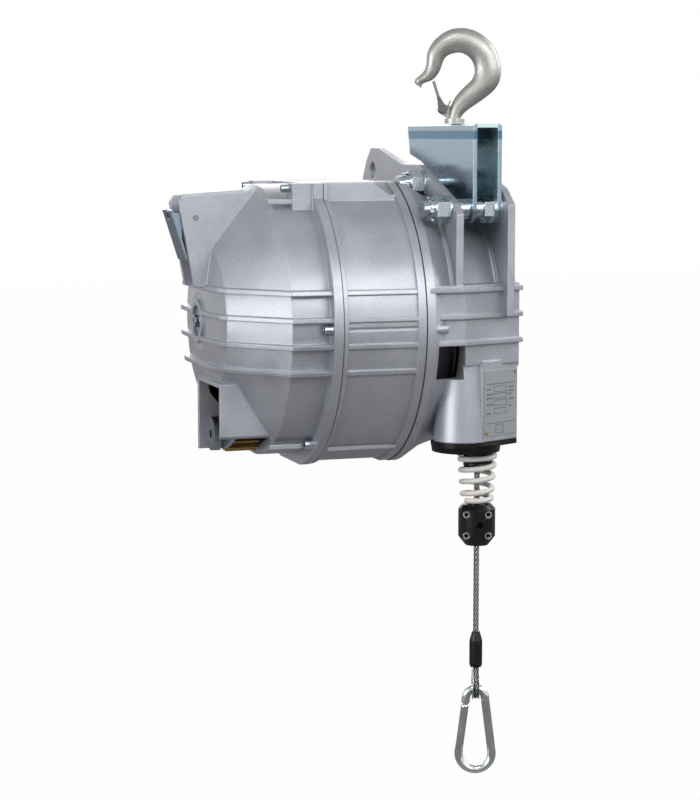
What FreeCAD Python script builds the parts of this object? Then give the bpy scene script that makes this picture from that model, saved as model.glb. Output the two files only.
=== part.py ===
import FreeCAD, Part
import math
import os

import Sketcher
from FreeCAD import Rotation, Vector

# A spring balancer for hand tools. It hangs from the hook at the top, and a conical drum
# winds the rope that carries the tool.
# The drum's axis lies along X. X = 0 is the joint between the spring cover and the ring,
# -Y is the side where the rope comes down, and Z is up.
# All pieces are laid out about the drum's axis and then moved so that the origin is the
# point inside the hook on which the whole balancer hangs.

# Main sizes: the casing's radius and the depths of its three castings carry everything else
casing_radius = 150.0
cover_length = 97.0
ring_length = 85.0
housing_length = 111.0
casing_wall = 6.0
bracket_width = 30.0
bolt_dia = 16.0
rope_dia = 6.0
bowl_radius = 17.0
clamp_height = 43.0
hanging_length = 90.0
carabiner_span = 58.6

doc = FreeCAD.newDocument("tool_balancer")
sheet = doc.addObject("Spreadsheet::Sheet", "Sizes")
size_names = []


def size(name, value, meaning):
    """Put one driving dimension in the sheet, in millimetres or degrees."""
    row = len(size_names) + 1
    sheet.set("A%d" % row, meaning)
    sheet.set("B%d" % row, repr(round(value, 6)))
    sheet.setAlias("B%d" % row, name)
    size_names.append(name)


# Casing
size("flange_radius", casing_radius, "outer radius of the casing flanges")
size("barrel_radius", casing_radius - 13.0, "outer radius of the two end castings")
size("casing_wall", casing_wall, "wall of the castings")
size("flat_top", casing_radius - 11.0, "height of the flat on top of the flanges, from the drum axis")
size("flat_bottom", casing_radius - 4.0, "depth of the flat under the flanges, from the drum axis")
size("cover_flange", 9.5, "thickness of the spring cover's flange")
size("cover_barrel", cover_length - 49.0, "length of the spring cover up to its cone")
size("cover_length", cover_length, "length of the spring cover")
size("nose_radius", casing_radius - 72.0, "radius of the spring cover's end face")
size("dome_rise", 8.0, "how far the spring cover's end rises towards its boss")
size("dome_radius", 30.0, "radius at which that rise ends")
size("ring_length", ring_length, "length of the middle ring")
size("ring_radius", casing_radius - 4.0, "outer radius of the ring between its flanges")
size("ring_flange_left", 5.0, "thickness of the ring's left flange")
size("ring_flange_right", 8.5, "thickness of the ring's right flange")
size("ring_step", 0.8, "how much smaller the ring's flanges are than the others")
size("housing_flange", 9.0, "thickness of the drum housing's flange")
size("housing_barrel", 30.0, "length of the drum housing up to its cone")
size("housing_length", housing_length, "length of the drum housing")
size("housing_end_radius", casing_radius - 38.0, "radius of the drum housing's end face")
size("boss_radius", 22.0, "radius of the bearing bosses on both ends")
size("boss_height", 11.0, "how far the bearing bosses stand out")
size("boss_recess_radius", 16.0, "radius of the recess in each boss")
size("boss_recess_depth", 5.0, "depth of the recess in each boss")

# Ribs
size("rib_spacing", 26.0, "distance from rib to rib")
size("rib_centre", -3.8, "height of the middle of the ribs above the drum axis")
size("rib_thickness", 4.6, "thickness of a rib")
size("rib_height", 9.0, "how far a rib stands out of the barrel")
size("rib_end_height", 11.0, "how far a rib stands out of the spring cover's end face")
size("low_rib_height", 4.5, "how far a rib stands out of the drum housing")
size("bead_width", 5.0, "width of the raised beads along the casing")
size("bead_angle", 58.5, "angle of the upper and lower beads from the front")
size("cover_bead_radius", casing_radius - 8.2, "distance of the spring cover's beads from the drum axis")

# Screws that hold the casing together
size("case_screw_circle", casing_radius - 7.5, "radius on which the casing screws lie")
size("case_screw_dia", 6.0, "diameter of a casing screw")
size("case_head_dia", 10.0, "head diameter of a casing screw")
size("case_head_length", 9.0, "head height of a casing screw")
size("case_thread_depth", 7.0, "how far a casing screw goes into the drum housing's flange")
size("case_socket", 5.0, "width across flats of the casing screw's socket")
size("low_screw_angle", 56.7, "angle of the lower casing screws from the front")
size("top_screw_dia", 4.0, "diameter of the two screws along the top")
size("top_head_dia", 8.0, "head diameter of those screws")
size("top_screw_y", casing_radius - 81.0, "distance of those screws from the middle")
size("top_screw_z", casing_radius - 16.0, "height of those screws")
size("top_screw_reach", 22.0, "how far those screws go into the ring's roof")
size("boss_length", 30.0, "length of the screw bosses on the upper corners")
size("boss_near", casing_radius - 90.0, "inner side of those bosses")
size("boss_far", casing_radius - 70.0, "outer side of those bosses")
size("boss_low", casing_radius - 38.0, "lower side of those bosses")
size("corner_half_width", casing_radius - 66.0, "half the width of the flanges' square top")
size("corner_low", casing_radius - 35.0, "height at which that square top begins")
size("roof_half_width", casing_radius - 69.0, "half the width of the ring's roof")
size("roof_top", casing_radius - 12.5, "height of the ring's roof")
size("roof_low", casing_radius - 40.0, "height at which the roof's sides begin")
size("roof_level", ring_length - 31.0, "length of the level part of the roof")
size("roof_end", casing_radius - 33.0, "height of the roof where its slope ends")
size("roof_rim", 5.0, "width of the rims along the roof")

# Fins and lock lever at the upper left
size("fin_thickness", 4.0, "thickness of the two fins")
size("fin_front", -23.0, "outer face of the front fin")
size("fin_back", 20.0, "outer face of the back fin")
size("fin_reach", cover_length + 33.0, "how far the fins reach from the casing joint")
size("fin_top", casing_radius - 24.0, "height of the fins' top corner")
size("lever_pin_x", cover_length + 16.0, "distance of the lock lever's pin from the casing joint")
size("lever_pin_z", casing_radius - 46.0, "height of the lock lever's pin")
size("lever_pin_dia", 5.0, "diameter of the lock lever's pin")
size("lever_plate", 2.5, "plate thickness of the lock lever")
size("lever_length", 24.0, "how far the lock lever reaches left of its pin")
size("lever_rise", 5.0, "how far its upper corner lies above the pin")
size("lever_foot_x", 9.0, "how far its lower end lies left of the pin")
size("lever_foot_z", 42.0, "how far its lower end lies below the pin")
size("lever_prong_gap", 13.0, "gap between the lever's two upper prongs")

# Adjuster at the lower left
size("box_front", -73.0, "front face of the adjuster's box")
size("box_back", 14.0, "back face of the adjuster's box")
size("box_top", 57.0, "depth of the top of the box below the drum axis")
size("box_radius", casing_radius - 18.5, "radius to which the walls of the box reach")
size("box_reach", cover_length + 6.0, "how far the box reaches from the casing joint")
size("head_inset", 4.0, "how far the adjusting shaft's head lies inside the box")
size("box_wall", 4.0, "wall of the box")
size("tooth_module", 2.5, "pitch diameter per tooth of the adjuster's gears")
size("pinion_teeth", 13, "teeth of the adjusting pinion")
size("gear_teeth", 78, "teeth of the ring gear on the spring case")
size("gear_backlash", 0.25, "extra centre distance of the gears")
size("adjuster_angle", 79.4, "angle of the pinion below the front")
size("gear_width", 22.0, "width of the ring gear")
size("pinion_width", 32.0, "width of the long pinion")
size("adjuster_shaft_dia", 14.0, "diameter of the adjusting shaft")
size("adjuster_head_dia", 34.0, "diameter of the adjusting shaft's head")
size("adjuster_head_length", 8.0, "length of the adjusting shaft's head")
size("adjuster_socket", 8.0, "width across flats of the socket in that head")
size("adjuster_plate_half", 14.0, "half the height of the plate that carries the shaft")
size("adjuster_plate_thickness", 5.0, "thickness of the plate that carries the shaft")

# Drum, shaft and springs
size("shaft_dia", 25.0, "diameter of the main shaft")
size("running_clearance", 0.05, "radial clearance of a running fit")
size("seat_gap", 0.3, "gap between pieces that seat beside each other")
size("bush_wall", 3.5, "wall of the shaft bushes")
size("bush_length", 14.0, "length of the shaft bushes")
size("rope_dia", rope_dia, "diameter of the rope")
size("rope_exit_x", ring_length + 70.5, "place of the hanging rope along the drum axis")
size("winding_radius", casing_radius - 45.0, "radius of the rope's centre line where it leaves the drum")
size("winding_pitch", 6.5, "distance from turn to turn on the drum")
size("winding_count", 5, "turns of rope on the drum at rest")
size("winding_taper", 1.3, "growth in radius from turn to turn")
size("drum_left", ring_length + 21.0, "left end of the drum")
size("drum_right", ring_length + 80.0, "right end of the drum")
size("drum_rim", 7.0, "wall of the drum's rim")
size("drum_lip", 6.0, "height of the drum's lips above the rope's seat")
size("drum_lip_width", 3.0, "width of the drum's lips")
size("drum_web", 8.0, "thickness of the drum's web")
size("hub_radius", 24.0, "radius of the drum's hub")
size("key_width", 8.0, "width of the key")
size("key_height", 7.0, "height of the key")
size("key_length", 36.0, "length of the key")
size("case_radius", casing_radius - 24.0, "outer radius of the spring case")
size("case_wall", 4.0, "wall of the spring case")
size("case_left", cover_length - 53.0, "distance of the spring case's left face from the casing joint")
size("case_length", cover_length - 60.0 + ring_length, "length of the spring case with its lid")
size("spring_inner_radius", 58.0, "inner radius of the wound power springs")
size("arbor_radius", 30.0, "radius of the spring arbor")
size("end_washer_dia", 30.0, "diameter of the washer on the shaft's end")
size("end_washer_thickness", 2.5, "thickness of that washer")
size("end_screw_dia", 8.0, "diameter of the screw in the shaft's end")
size("end_head_dia", 13.0, "head diameter of that screw")
size("end_head_length", 5.0, "head height of that screw")

# Lugs, bracket and bolts
size("lug_left", ring_length + 33.0, "left face of the left lug")
size("lug_thickness", 7.3, "thickness of a lug")
size("lug_right", ring_length + 87.0, "left face of the right lug")
size("lug_half_width", casing_radius - 8.5, "half the width of the lugs")
size("lug_foot", 8.0, "height at which the lugs begin")
size("ear_top", casing_radius + 22.0, "height of the ear on the left lug")
size("lug_crest", casing_radius + 6.0, "height of the left lug between the bolt and the ear")
size("lug_back", casing_radius - 9.5, "height of the lugs at their back edge")
size("left_corner_y", 19.0 - casing_radius, "front corner of the left lug")
size("left_corner_z", casing_radius - 30.5, "height of that corner")
size("right_corner_y", 28.0 - casing_radius, "front corner of the right lug")
size("right_corner_z", casing_radius - 17.0, "height of that corner")
size("right_crest", casing_radius + 10.0, "height of the right lug's crest")
size("safety_hole_dia", 18.0, "diameter of the hole for the safety chain")
size("safety_hole_y", casing_radius - 41.0, "place of the safety hole behind the drum axis")
size("safety_hole_z", casing_radius - 2.0, "height of the safety hole")
size("bolt_dia", bolt_dia, "diameter of the suspension bolts")
size("bolt_one_y", 104.0 - casing_radius, "place of the upper suspension bolt")
size("bolt_one_z", casing_radius - 13.0, "height of the upper suspension bolt")
size("bolt_two_y", 32.0 - casing_radius, "place of the lower suspension bolt")
size("bolt_two_z", casing_radius - 36.5, "height of the lower suspension bolt")
size("nut_flats", 24.0, "width across flats of nuts and bolt heads")
size("nut_length", 13.0, "height of the hexagon of a nut")
size("nut_collar", 6.0, "height of the slotted crown on a nut")
size("crown_dia", 22.0, "diameter of that crown")
size("crown_slot", 4.0, "width of the slots in the crown")
size("split_pin_dia", 3.2, "diameter of the split pins")
size("split_pin_length", 27.0, "length of the split pins")
size("bolt_end", 6.0, "how far a bolt stands out of its nut")
size("washer_thickness", 2.5, "thickness of the bolts' washers")
size("washer_dia", 28.0, "diameter of the bolts' washers")
size("bolt_hex_length", 10.0, "length of the hexagon on the bolts inside the bracket")
size("bracket_left", ring_length + 53.5, "left face of the bracket")
size("bracket_width", bracket_width, "outer width of the bracket")
size("bracket_plate", 4.0, "plate thickness of the bracket")
size("bracket_bend", 5.0, "outer bend radius of the bracket")
size("bracket_top", casing_radius + 47.0, "height of the bracket's top")
size("bracket_front", 14.0 - casing_radius, "front edge of the bracket")
size("bracket_back", casing_radius - 94.0, "back edge of the bracket")
size("bracket_round", 14.2, "radius of the bracket round its bolts")
size("spacer_dia", 20.0, "diameter of the spacers on the bolts")

# Hook
size("hook_x", ring_length + 53.5 + bracket_width / 2, "place of the hook's shank along the drum axis")
size("hook_y", 108.0 - casing_radius, "place of the hook's shank across the drum axis")
size("hook_turn", -18.5, "turn of the hook about its shank at rest")
size("shank_dia", 14.0, "diameter of the hook's shank")
size("shank_length", 22.0, "length of the shank below its collar")
size("collar_radius", 10.2, "radius of the hook's collar")
size("collar_height", 5.0, "height of the hook's collar")
size("bowl_height", 54.5, "height of the hook's bowl centre above the bracket")
size("bowl_radius", bowl_radius, "inner radius of the hook's bowl")
size("bowl_offset", 2.9, "offset of the bowl's centre from the shank")
size("hook_depth", 19.0, "thickness of the hook across its plane")
size("hook_nut_dia", 20.5, "diameter of the round nut under the bracket")
size("hook_nut_length", 12.0, "length of that nut")
size("thrust_washer", 2.0, "thickness of the washer under the bracket's top")
size("latch_pin_out", 12.5, "distance of the latch pin from the shank's axis")
size("latch_pin_up", 15.0, "height of the latch pin above the bracket")
size("latch_pin_dia", 4.0, "diameter of the latch pin")
size("ear_thickness", 6.0, "thickness of the hook's ear for the latch")
size("latch_sheet", 1.6, "sheet thickness of the latch")
size("latch_wire", 3.0, "thickness of the latch's arm")
size("latch_length", 29.5, "length of the latch from its pin")

# Rope tower, guide and line below it
size("front_face", casing_radius - 8.0, "distance of the flat front face from the drum axis")
size("front_corner", ring_length + 42.4, "place of the corner between front face and label face")
size("label_angle", 27.0, "angle of the label face to the front face")
size("band_angle", 19.0, "angle of the front band's right part to the front face")
size("tower_top", 36.0, "depth of the tower's top below the drum axis")
size("band_half_height", 40.0, "half the height of the thick front band")
size("tower_x", ring_length + 50.0, "place of the rope tower's round corner along the drum axis")
size("tower_y", 36.0 - casing_radius, "place of the rope tower's round corner across the drum axis")
size("tower_radius", 28.0, "radius of that corner at the foot")
size("tower_draft", 4.5, "loss of that radius up to the band")
size("tower_right", ring_length + housing_length - 2.0, "right edge of the label face")
size("tower_foot", casing_radius - 33.5, "depth of the tower's foot below the drum axis")
size("window_left", ring_length + 13.5, "left edge of the window on the drum")
size("window_right", ring_length + 43.0, "right edge of the window")
size("window_top", -19.5, "top edge of the window")
size("window_height", 34.0, "height of the window")
size("front_boss_dia", 10.0, "diameter of the small boss on the front band")
size("front_boss_left", ring_length + 9.0, "left end of that boss")
size("front_boss_length", 13.0, "length of that boss")
size("front_boss_z", -1.8, "height of that boss")
size("plate_width", 49.0, "width of the rating plate")
size("plate_height", 65.0, "height of the rating plate")
size("plate_top", 46.0, "depth of the rating plate's top below the drum axis")
size("plate_thickness", 1.0, "thickness of the rating plate")
size("rivet_dia", 3.0, "head diameter of the plate's rivets")
size("base_thickness", 5.5, "thickness of the rope guide's base")
size("nose_thickness", 6.2, "how far the base's round nose hangs below it")
size("nose_dia", 71.0, "diameter of the base's round nose")
size("guide_bore", 9.0, "bore of the rope guide")
size("nozzle_dia", 28.0, "diameter of the nozzle inside the spring")
size("nozzle_length", 21.0, "length of that nozzle")
size("line_y", 45.0 - casing_radius, "place of the hanging rope across the drum axis")
size("clamp_top", casing_radius + 32.0, "depth of the clamp's top below the drum axis")
size("clamp_height", clamp_height, "height of the rope clamp")
size("clamp_dia", 37.3, "diameter of the rope clamp")
size("clamp_split", 0.6, "gap between the halves of the clamp")
size("clamp_screw_dia", 5.0, "diameter of a clamp screw")
size("clamp_head_dia", 7.4, "head diameter of a clamp screw")
size("clamp_screw_out", 11.0, "distance of the clamp screws from the rope")
size("spring_wire", 5.4, "wire diameter of the buffer spring")
size("spring_top_dia", 41.6, "outer diameter of the buffer spring at its top")
size("spring_low_dia", 34.0, "outer diameter of the buffer spring at its foot")
size("spring_turns", 4.5, "turns of the buffer spring")
size("hanging_length", hanging_length, "length of rope between clamp and sleeve")
size("sleeve_dia", 13.2, "diameter of the sleeve over the rope's ferrule")
size("sleeve_length", 36.5, "length of that sleeve")
size("eye_radius", 10.5, "radius of the thimble's centre line")
size("eye_thickness", 7.0, "thickness of the thimble")
size("eye_drop", 20.0, "distance from sleeve to the thimble's centre")

# Carabiner
size("carabiner_wire", 8.5, "wire diameter of the carabiner")
size("carabiner_top_radius", 9.5, "radius of its narrow top, on the wire's centre line")
size("carabiner_low_radius", 16.9, "radius of its wide foot, on the wire's centre line")
size("carabiner_span", carabiner_span, "distance between the centres of those two arcs")

doc.recompute()


class Length:
    """A number worked out from the sheet, together with the formula that gives it."""

    def __init__(self, formula, number):
        self.formula = formula
        self.number = float(number)

    def __float__(self):
        return self.number

    def __add__(self, other):
        return Length("(%s + %s)" % (self.formula, formula_of(other)), self.number + float(other))

    def __radd__(self, other):
        return Length("(%s + %s)" % (formula_of(other), self.formula), float(other) + self.number)

    def __sub__(self, other):
        return Length("(%s - %s)" % (self.formula, formula_of(other)), self.number - float(other))

    def __rsub__(self, other):
        return Length("(%s - %s)" % (formula_of(other), self.formula), float(other) - self.number)

    def __mul__(self, other):
        return Length("(%s * %s)" % (self.formula, formula_of(other)), self.number * float(other))

    def __rmul__(self, other):
        return Length("(%s * %s)" % (formula_of(other), self.formula), float(other) * self.number)

    def __truediv__(self, other):
        return Length("(%s / %s)" % (self.formula, formula_of(other)), self.number / float(other))

    def __neg__(self):
        return Length("(0 - %s)" % self.formula, -self.number)


def formula_of(value):
    """The text that a formula uses for a length or a plain number."""
    return value.formula if isinstance(value, Length) else repr(float(value))


def cosine(angle):
    return Length("cos(%s * 1deg)" % formula_of(angle), math.cos(math.radians(float(angle))))


def sine(angle):
    return Length("sin(%s * 1deg)" % formula_of(angle), math.sin(math.radians(float(angle))))


class Sheet:
    """Gives every cell of the sheet by its alias."""

    def __getattr__(self, name):
        return Length("Sizes." + name, float(sheet.get(name)))


dim = Sheet()


def bind(piece, prop, value):
    """Set a property and tie it to the sheet."""
    if isinstance(value, Length):
        piece.setExpression(prop, value.formula)
    else:
        piece.setExpression(prop, repr(float(value)))


def place(piece, where, turn=None):
    """Put a piece at a point given by three lengths, with an optional turn."""
    if turn is not None:
        piece.Placement = FreeCAD.Placement(Vector(0, 0, 0), turn)
    for axis, value in zip("xyz", where):
        bind(piece, "Placement.Base." + axis, value)
    return piece


ALONG_X = Rotation(Vector(0, 1, 0), 90)
ALONG_Y = Rotation(Vector(1, 0, 0), -90)
CENTRE = (0, 0, 0)


def rod(name, diameter, length, where, turn=None):
    """A round bar that starts at a point and runs along Z, or along X or Y when turned."""
    piece = doc.addObject("Part::Cylinder", name)
    bind(piece, "Radius", diameter / 2)
    bind(piece, "Height", length)
    return place(piece, where, turn)


def hexagon(name, flats, length, where, turn=None):
    """A hexagon bar of a given width across flats."""
    piece = doc.addObject("Part::Prism", name)
    piece.Polygon = 6
    bind(piece, "Circumradius", flats / math.sqrt(3.0))
    bind(piece, "Height", length)
    return place(piece, where, turn)


def block(name, low, high):
    """A box from its lowest to its highest corner."""
    piece = doc.addObject("Part::Box", name)
    for prop, a, b in zip(("Length", "Width", "Height"), low, high):
        bind(piece, prop, b - a)
    return place(piece, low)


def cone(name, foot, top, height, where, turn=None):
    """A cone frustum given by two diameters."""
    piece = doc.addObject("Part::Cone", name)
    bind(piece, "Radius1", foot / 2)
    bind(piece, "Radius2", top / 2)
    bind(piece, "Height", height)
    return place(piece, where, turn)


def joined(name, *pieces):
    fuse = doc.addObject("Part::MultiFuse", name)
    fuse.Shapes = list(pieces)
    fuse.Refine = True
    return fuse


def without(name, base, *tools):
    """A piece with others cut out of it."""
    tool = tools[0] if len(tools) == 1 else joined(name + "_cuts", *tools)
    cut = doc.addObject("Part::Cut", name)
    cut.Base = base
    cut.Tool = tool
    cut.Refine = True
    return cut


def shared(name, first, second):
    """What two pieces have in common."""
    common = doc.addObject("Part::MultiCommon", name)
    common.Shapes = [first, second]
    common.Refine = True
    return common


def group(name, *pieces):
    """Separate solids that share one node."""
    compound = doc.addObject("Part::Compound", name)
    compound.Links = list(pieces)
    return compound


def sketch_outline(body, name, role, outline):
    """A closed outline of straight lines whose corners are tied to the sheet."""
    plane = [f for f in body.Origin.OriginFeatures if f.Role == role][0]
    sketch = body.newObject("Sketcher::SketchObject", name)
    sketch.AttachmentSupport = [(plane, "")]
    sketch.MapMode = "FlatFace"
    corners = [Vector(float(a), float(b), 0) for a, b in outline]
    count = len(corners)
    for i in range(count):
        sketch.addGeometry(Part.LineSegment(corners[i], corners[(i + 1) % count]), False)
    for i in range(count):
        sketch.addConstraint(Sketcher.Constraint("Coincident", i, 2, (i + 1) % count, 1))
    for i, (a, b) in enumerate(outline):
        for kind, value, axis in (("DistanceX", a, -2), ("DistanceY", b, -1)):
            if isinstance(value, Length):
                rule = Sketcher.Constraint(kind, -1, 1, i, 1, float(value))
                number = sketch.addConstraint(rule)
                sketch.setExpression("Constraints[%d]" % number, value.formula)
            elif value == 0:
                sketch.addConstraint(Sketcher.Constraint("PointOnObject", i, 1, axis))
            else:
                sketch.addConstraint(Sketcher.Constraint(kind, -1, 1, i, 1, float(value)))
    return sketch


def turned(name, outline, upright=False):
    """A body turned about the X axis from (x, radius) corners, or about Z from (radius, z)."""
    body = doc.addObject("PartDesign::Body", name)
    sketch = sketch_outline(body, name + "_profile", "XZ_Plane", outline)
    turn = body.newObject("PartDesign::Revolution", name + "_turn")
    turn.Profile = sketch
    turn.ReferenceAxis = (sketch, ["V_Axis" if upright else "H_Axis"])
    turn.Angle = 360
    return body


def slab(name, role, outline, start, thickness):
    """A body padded from an outline: on XY_Plane along Z, or on YZ_Plane along X."""
    body = doc.addObject("PartDesign::Body", name)
    sketch = sketch_outline(body, name + "_outline", role, outline)
    pad = body.newObject("PartDesign::Pad", name + "_pad")
    pad.Profile = sketch
    bind(pad, "Length", thickness)
    bind(body, "Placement.Base." + ("z" if role == "XY_Plane" else "x"), start)
    return body


def shaped(name, shape):
    """A piece whose shape is worked out below from the sheet's values."""
    piece = doc.addObject("Part::Feature", name)
    piece.Shape = shape
    return piece


sub_parts = []
origin = (dim.hook_x, dim.hook_y, dim.bracket_top + dim.bowl_height + dim.bowl_radius)


def seat(piece, label, where=CENTRE):
    """Name a finished sub-part and move it so that the hook's bearing point is the origin."""
    piece.Label = label
    for axis, value, zero in zip("xyz", where, origin):
        bind(piece, "Placement.Base." + axis, value - zero)
    sub_parts.append(piece)


# Profiles that several castings share
barrel_inside = dim.barrel_radius - dim.casing_wall
ring_right = dim.ring_length
housing_cone_x = ring_right + dim.housing_barrel
housing_end = ring_right + dim.housing_length
shaft_left = -(dim.cover_length + dim.boss_height - dim.boss_recess_depth)
shaft_right = housing_end + dim.boss_height - dim.boss_recess_depth
bush_dia = dim.shaft_dia + dim.running_clearance * 2 + dim.bush_wall * 2
rib_levels = [dim.rib_spacing * step + dim.rib_centre for step in (1.5, 0.5, -0.5, -1.5)]


def rib_slabs(name, left, right):
    """Four level slabs of rib thickness over the whole depth of the casing."""
    reach = dim.flange_radius
    slabs = []
    for number, level in enumerate(rib_levels):
        low = (left, -reach, level - dim.rib_thickness / 2)
        high = (right, reach, level + dim.rib_thickness / 2)
        slabs.append(block("%s_slab_%d" % (name, number), low, high))
    return joined(name + "_slabs", *slabs)


def side_screw_places():
    """The four long casing screws as (y, z): level with the drum axis and below it."""
    places = []
    for side in (-1, 1):
        for angle in (Length("0", 0), -dim.low_screw_angle):
            y = dim.case_screw_circle * cosine(angle) * side
            z = dim.case_screw_circle * sine(angle)
            places.append((y, z))
    return places


def top_screw_places():
    """The two short casing screws as (y, z), on the upper corners."""
    return [(dim.top_screw_y * side, dim.top_screw_z) for side in (-1, 1)]


def screw_bores(name, places, diameter, left, right):
    """Clearance bores for some of the casing screws between two places along X."""
    bores = []
    for number, (y, z) in enumerate(places):
        bore = diameter + dim.seat_gap * 2
        bores.append(rod("%s_%d" % (name, number), bore, right - left, (left, y, z), ALONG_X))
    return bores


def beads(name, left, right, radius):
    """Raised beads along X at the upper and lower front and back."""
    bars = []
    for side in (-1, 1):
        for level in (1, -1):
            y = radius * cosine(dim.bead_angle) * side
            z = radius * sine(dim.bead_angle) * level
            half = dim.bead_width / 2
            low = (left, y - half, z - half)
            high = (right, y + half, z + half)
            bars.append(block("%s_%d_%d" % (name, side + 1, level + 1), low, high))
    return bars


def trimmed_flange(name, radius, left, right):
    """A round flange with the flat top and the flat bottom."""
    disc = rod(name + "_disc", radius * 2, right - left, (left, 0, 0), ALONG_X)
    reach = dim.flange_radius
    limit = block(name + "_flats", (left, -reach, -dim.flat_bottom), (right, reach, dim.flat_top))
    return shared(name, disc, limit)


def square_top(name, left, right):
    """The upper part of a flange, square up to the two short screws."""
    return block(name, (left, -dim.corner_half_width, dim.corner_low),
                 (right, dim.corner_half_width, dim.flat_top))


# Spring cover, the left casting
cover_left = -(dim.cover_length + dim.boss_height)
cover_shell = turned("cover_shell", [
    (0, 0),
    (0, dim.barrel_radius),
    (-dim.cover_barrel, dim.barrel_radius),
    (-dim.cover_length, dim.nose_radius),
    (-(dim.cover_length + dim.dome_rise), dim.dome_radius),
    (-(dim.cover_length + dim.dome_rise), dim.boss_radius),
    (cover_left, dim.boss_radius),
    (cover_left, 0)])
cover_rib_body = turned("cover_rib_body", [
    (-dim.cover_flange / 2, 0),
    (-dim.cover_flange / 2, dim.barrel_radius + dim.rib_height),
    (-(dim.cover_barrel + 2), dim.barrel_radius + dim.rib_height),
    (-(dim.cover_length + 1), dim.nose_radius + dim.rib_height),
    (-(dim.cover_length + dim.rib_end_height - 4), dim.nose_radius - 1),
    (-(dim.cover_length + dim.rib_end_height - 2.5), dim.nose_radius - 14),
    (-(dim.cover_length + dim.rib_end_height), dim.boss_radius - 2),
    (-(dim.cover_length + dim.rib_end_height), 0)])
cover_ribs = shared("cover_ribs", cover_rib_body,
                    rib_slabs("cover", -(dim.cover_length + dim.rib_end_height * 2), Length("0", 0)))
cover_cavity = turned("cover_cavity", [
    (1, 0),
    (1, barrel_inside),
    (-dim.cover_barrel + 2, barrel_inside),
    (-(dim.cover_length - dim.casing_wall), dim.nose_radius - dim.casing_wall + 3),
    (-(dim.cover_length + dim.dome_rise - dim.casing_wall), dim.dome_radius),
    (-(dim.cover_length + dim.dome_rise - dim.casing_wall), 0)])
cover_bore = rod("cover_bore", bush_dia, dim.boss_height + dim.casing_wall + 8, (cover_left, 0, 0), ALONG_X)
cover_recess = rod("cover_recess", dim.boss_recess_radius * 2, dim.boss_recess_depth, (cover_left, 0, 0),
                   ALONG_X)
corner_bosses = [
    block("corner_boss_front", (-dim.boss_length, -dim.boss_far, dim.boss_low),
          (0 - dim.cover_flange / 2, -dim.boss_near, dim.flat_top)),
    block("corner_boss_back", (-dim.boss_length, dim.boss_near, dim.boss_low),
          (0 - dim.cover_flange / 2, dim.boss_far, dim.flat_top))]

fin_outline = [
    (-dim.cover_barrel, dim.barrel_radius - 6),
    (-(dim.fin_reach - 5), dim.fin_top),
    (-dim.fin_reach, dim.fin_top - 7),
    (-(dim.cover_length + 18), rib_levels[0]),
    (-(dim.cover_length - 12), rib_levels[0])]


def fin(name, face, inward):
    """An upright fin along X, drawn in the XZ plane and padded towards the other fin."""
    body = doc.addObject("PartDesign::Body", name)
    sketch = sketch_outline(body, name + "_outline", "XZ_Plane", fin_outline)
    pad = body.newObject("PartDesign::Pad", name + "_pad")
    pad.Profile = sketch
    bind(pad, "Length", dim.fin_thickness)
    pad.Reversed = inward
    bind(body, "Placement.Base.y", face)
    return body


front_fin = fin("front_fin", dim.fin_front, True)
back_fin = fin("back_fin", dim.fin_back, False)
lever_bore = rod("lever_bore", dim.lever_pin_dia + dim.running_clearance * 2,
                 dim.fin_back - dim.fin_front + 4,
                 (-dim.lever_pin_x, dim.fin_front - 2, dim.lever_pin_z), ALONG_Y)

box_outer = shared(
    "box_outer",
    rod("box_round", dim.box_radius * 2, dim.box_reach - dim.cover_barrel,
        (-dim.box_reach, 0, 0), ALONG_X),
    block("box_block", (-dim.box_reach, dim.box_front, -dim.box_radius),
          (-dim.cover_barrel, dim.box_back, -dim.box_top)))
box_inner = block("box_inner",
                  (-(dim.box_reach + 1), dim.box_front + dim.box_wall, -(dim.box_radius + 1)),
                  (-(dim.cover_barrel + 2), dim.box_back - dim.box_wall, -(dim.box_top + dim.box_wall)))
cover_solid = joined("cover_solid", cover_shell, cover_ribs, front_fin, back_fin, box_outer,
                     trimmed_flange("cover_flange_disc", dim.flange_radius, -dim.cover_flange, Length("0", 0)),
                     square_top("cover_square_top", -dim.cover_flange, Length("0", 0)),
                     *(corner_bosses + beads("cover_bead", -(dim.cover_barrel + 6), -dim.cover_flange / 2,
                                             dim.cover_bead_radius)))
head_rooms = []
for number, (y, z) in enumerate(side_screw_places()):
    head_rooms.append(rod("head_room_%d" % number, dim.case_head_dia + 1, dim.case_head_length + 3,
                          (-(dim.cover_flange + dim.case_head_length + 3), y, z), ALONG_X))
cover_hub = turned("cover_hub", [
    (-(dim.cover_length + dim.dome_rise - dim.casing_wall + 1), 0),
    (-(dim.cover_length + dim.dome_rise - dim.casing_wall + 1), dim.boss_radius),
    (-(dim.cover_length - dim.casing_wall - 6), dim.boss_radius - 2),
    (-(dim.cover_length - dim.casing_wall - 6), 0)])
cover_hollow = without("cover_hollow", cover_solid, cover_cavity, box_inner)
cover_filled = joined("cover_filled", cover_hollow, cover_hub)
spring_cover = without("spring_cover", cover_filled, cover_bore, cover_recess, lever_bore,
                       *(head_rooms + screw_bores("cover_side_bore", side_screw_places(), dim.case_screw_dia,
                                                  -(dim.cover_flange + 1), Length("1", 1))
                         + screw_bores("cover_top_bore", top_screw_places(), dim.top_screw_dia,
                                       -(dim.boss_length + 1), Length("1", 1))))
seat(spring_cover, "spring_cover")

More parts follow.
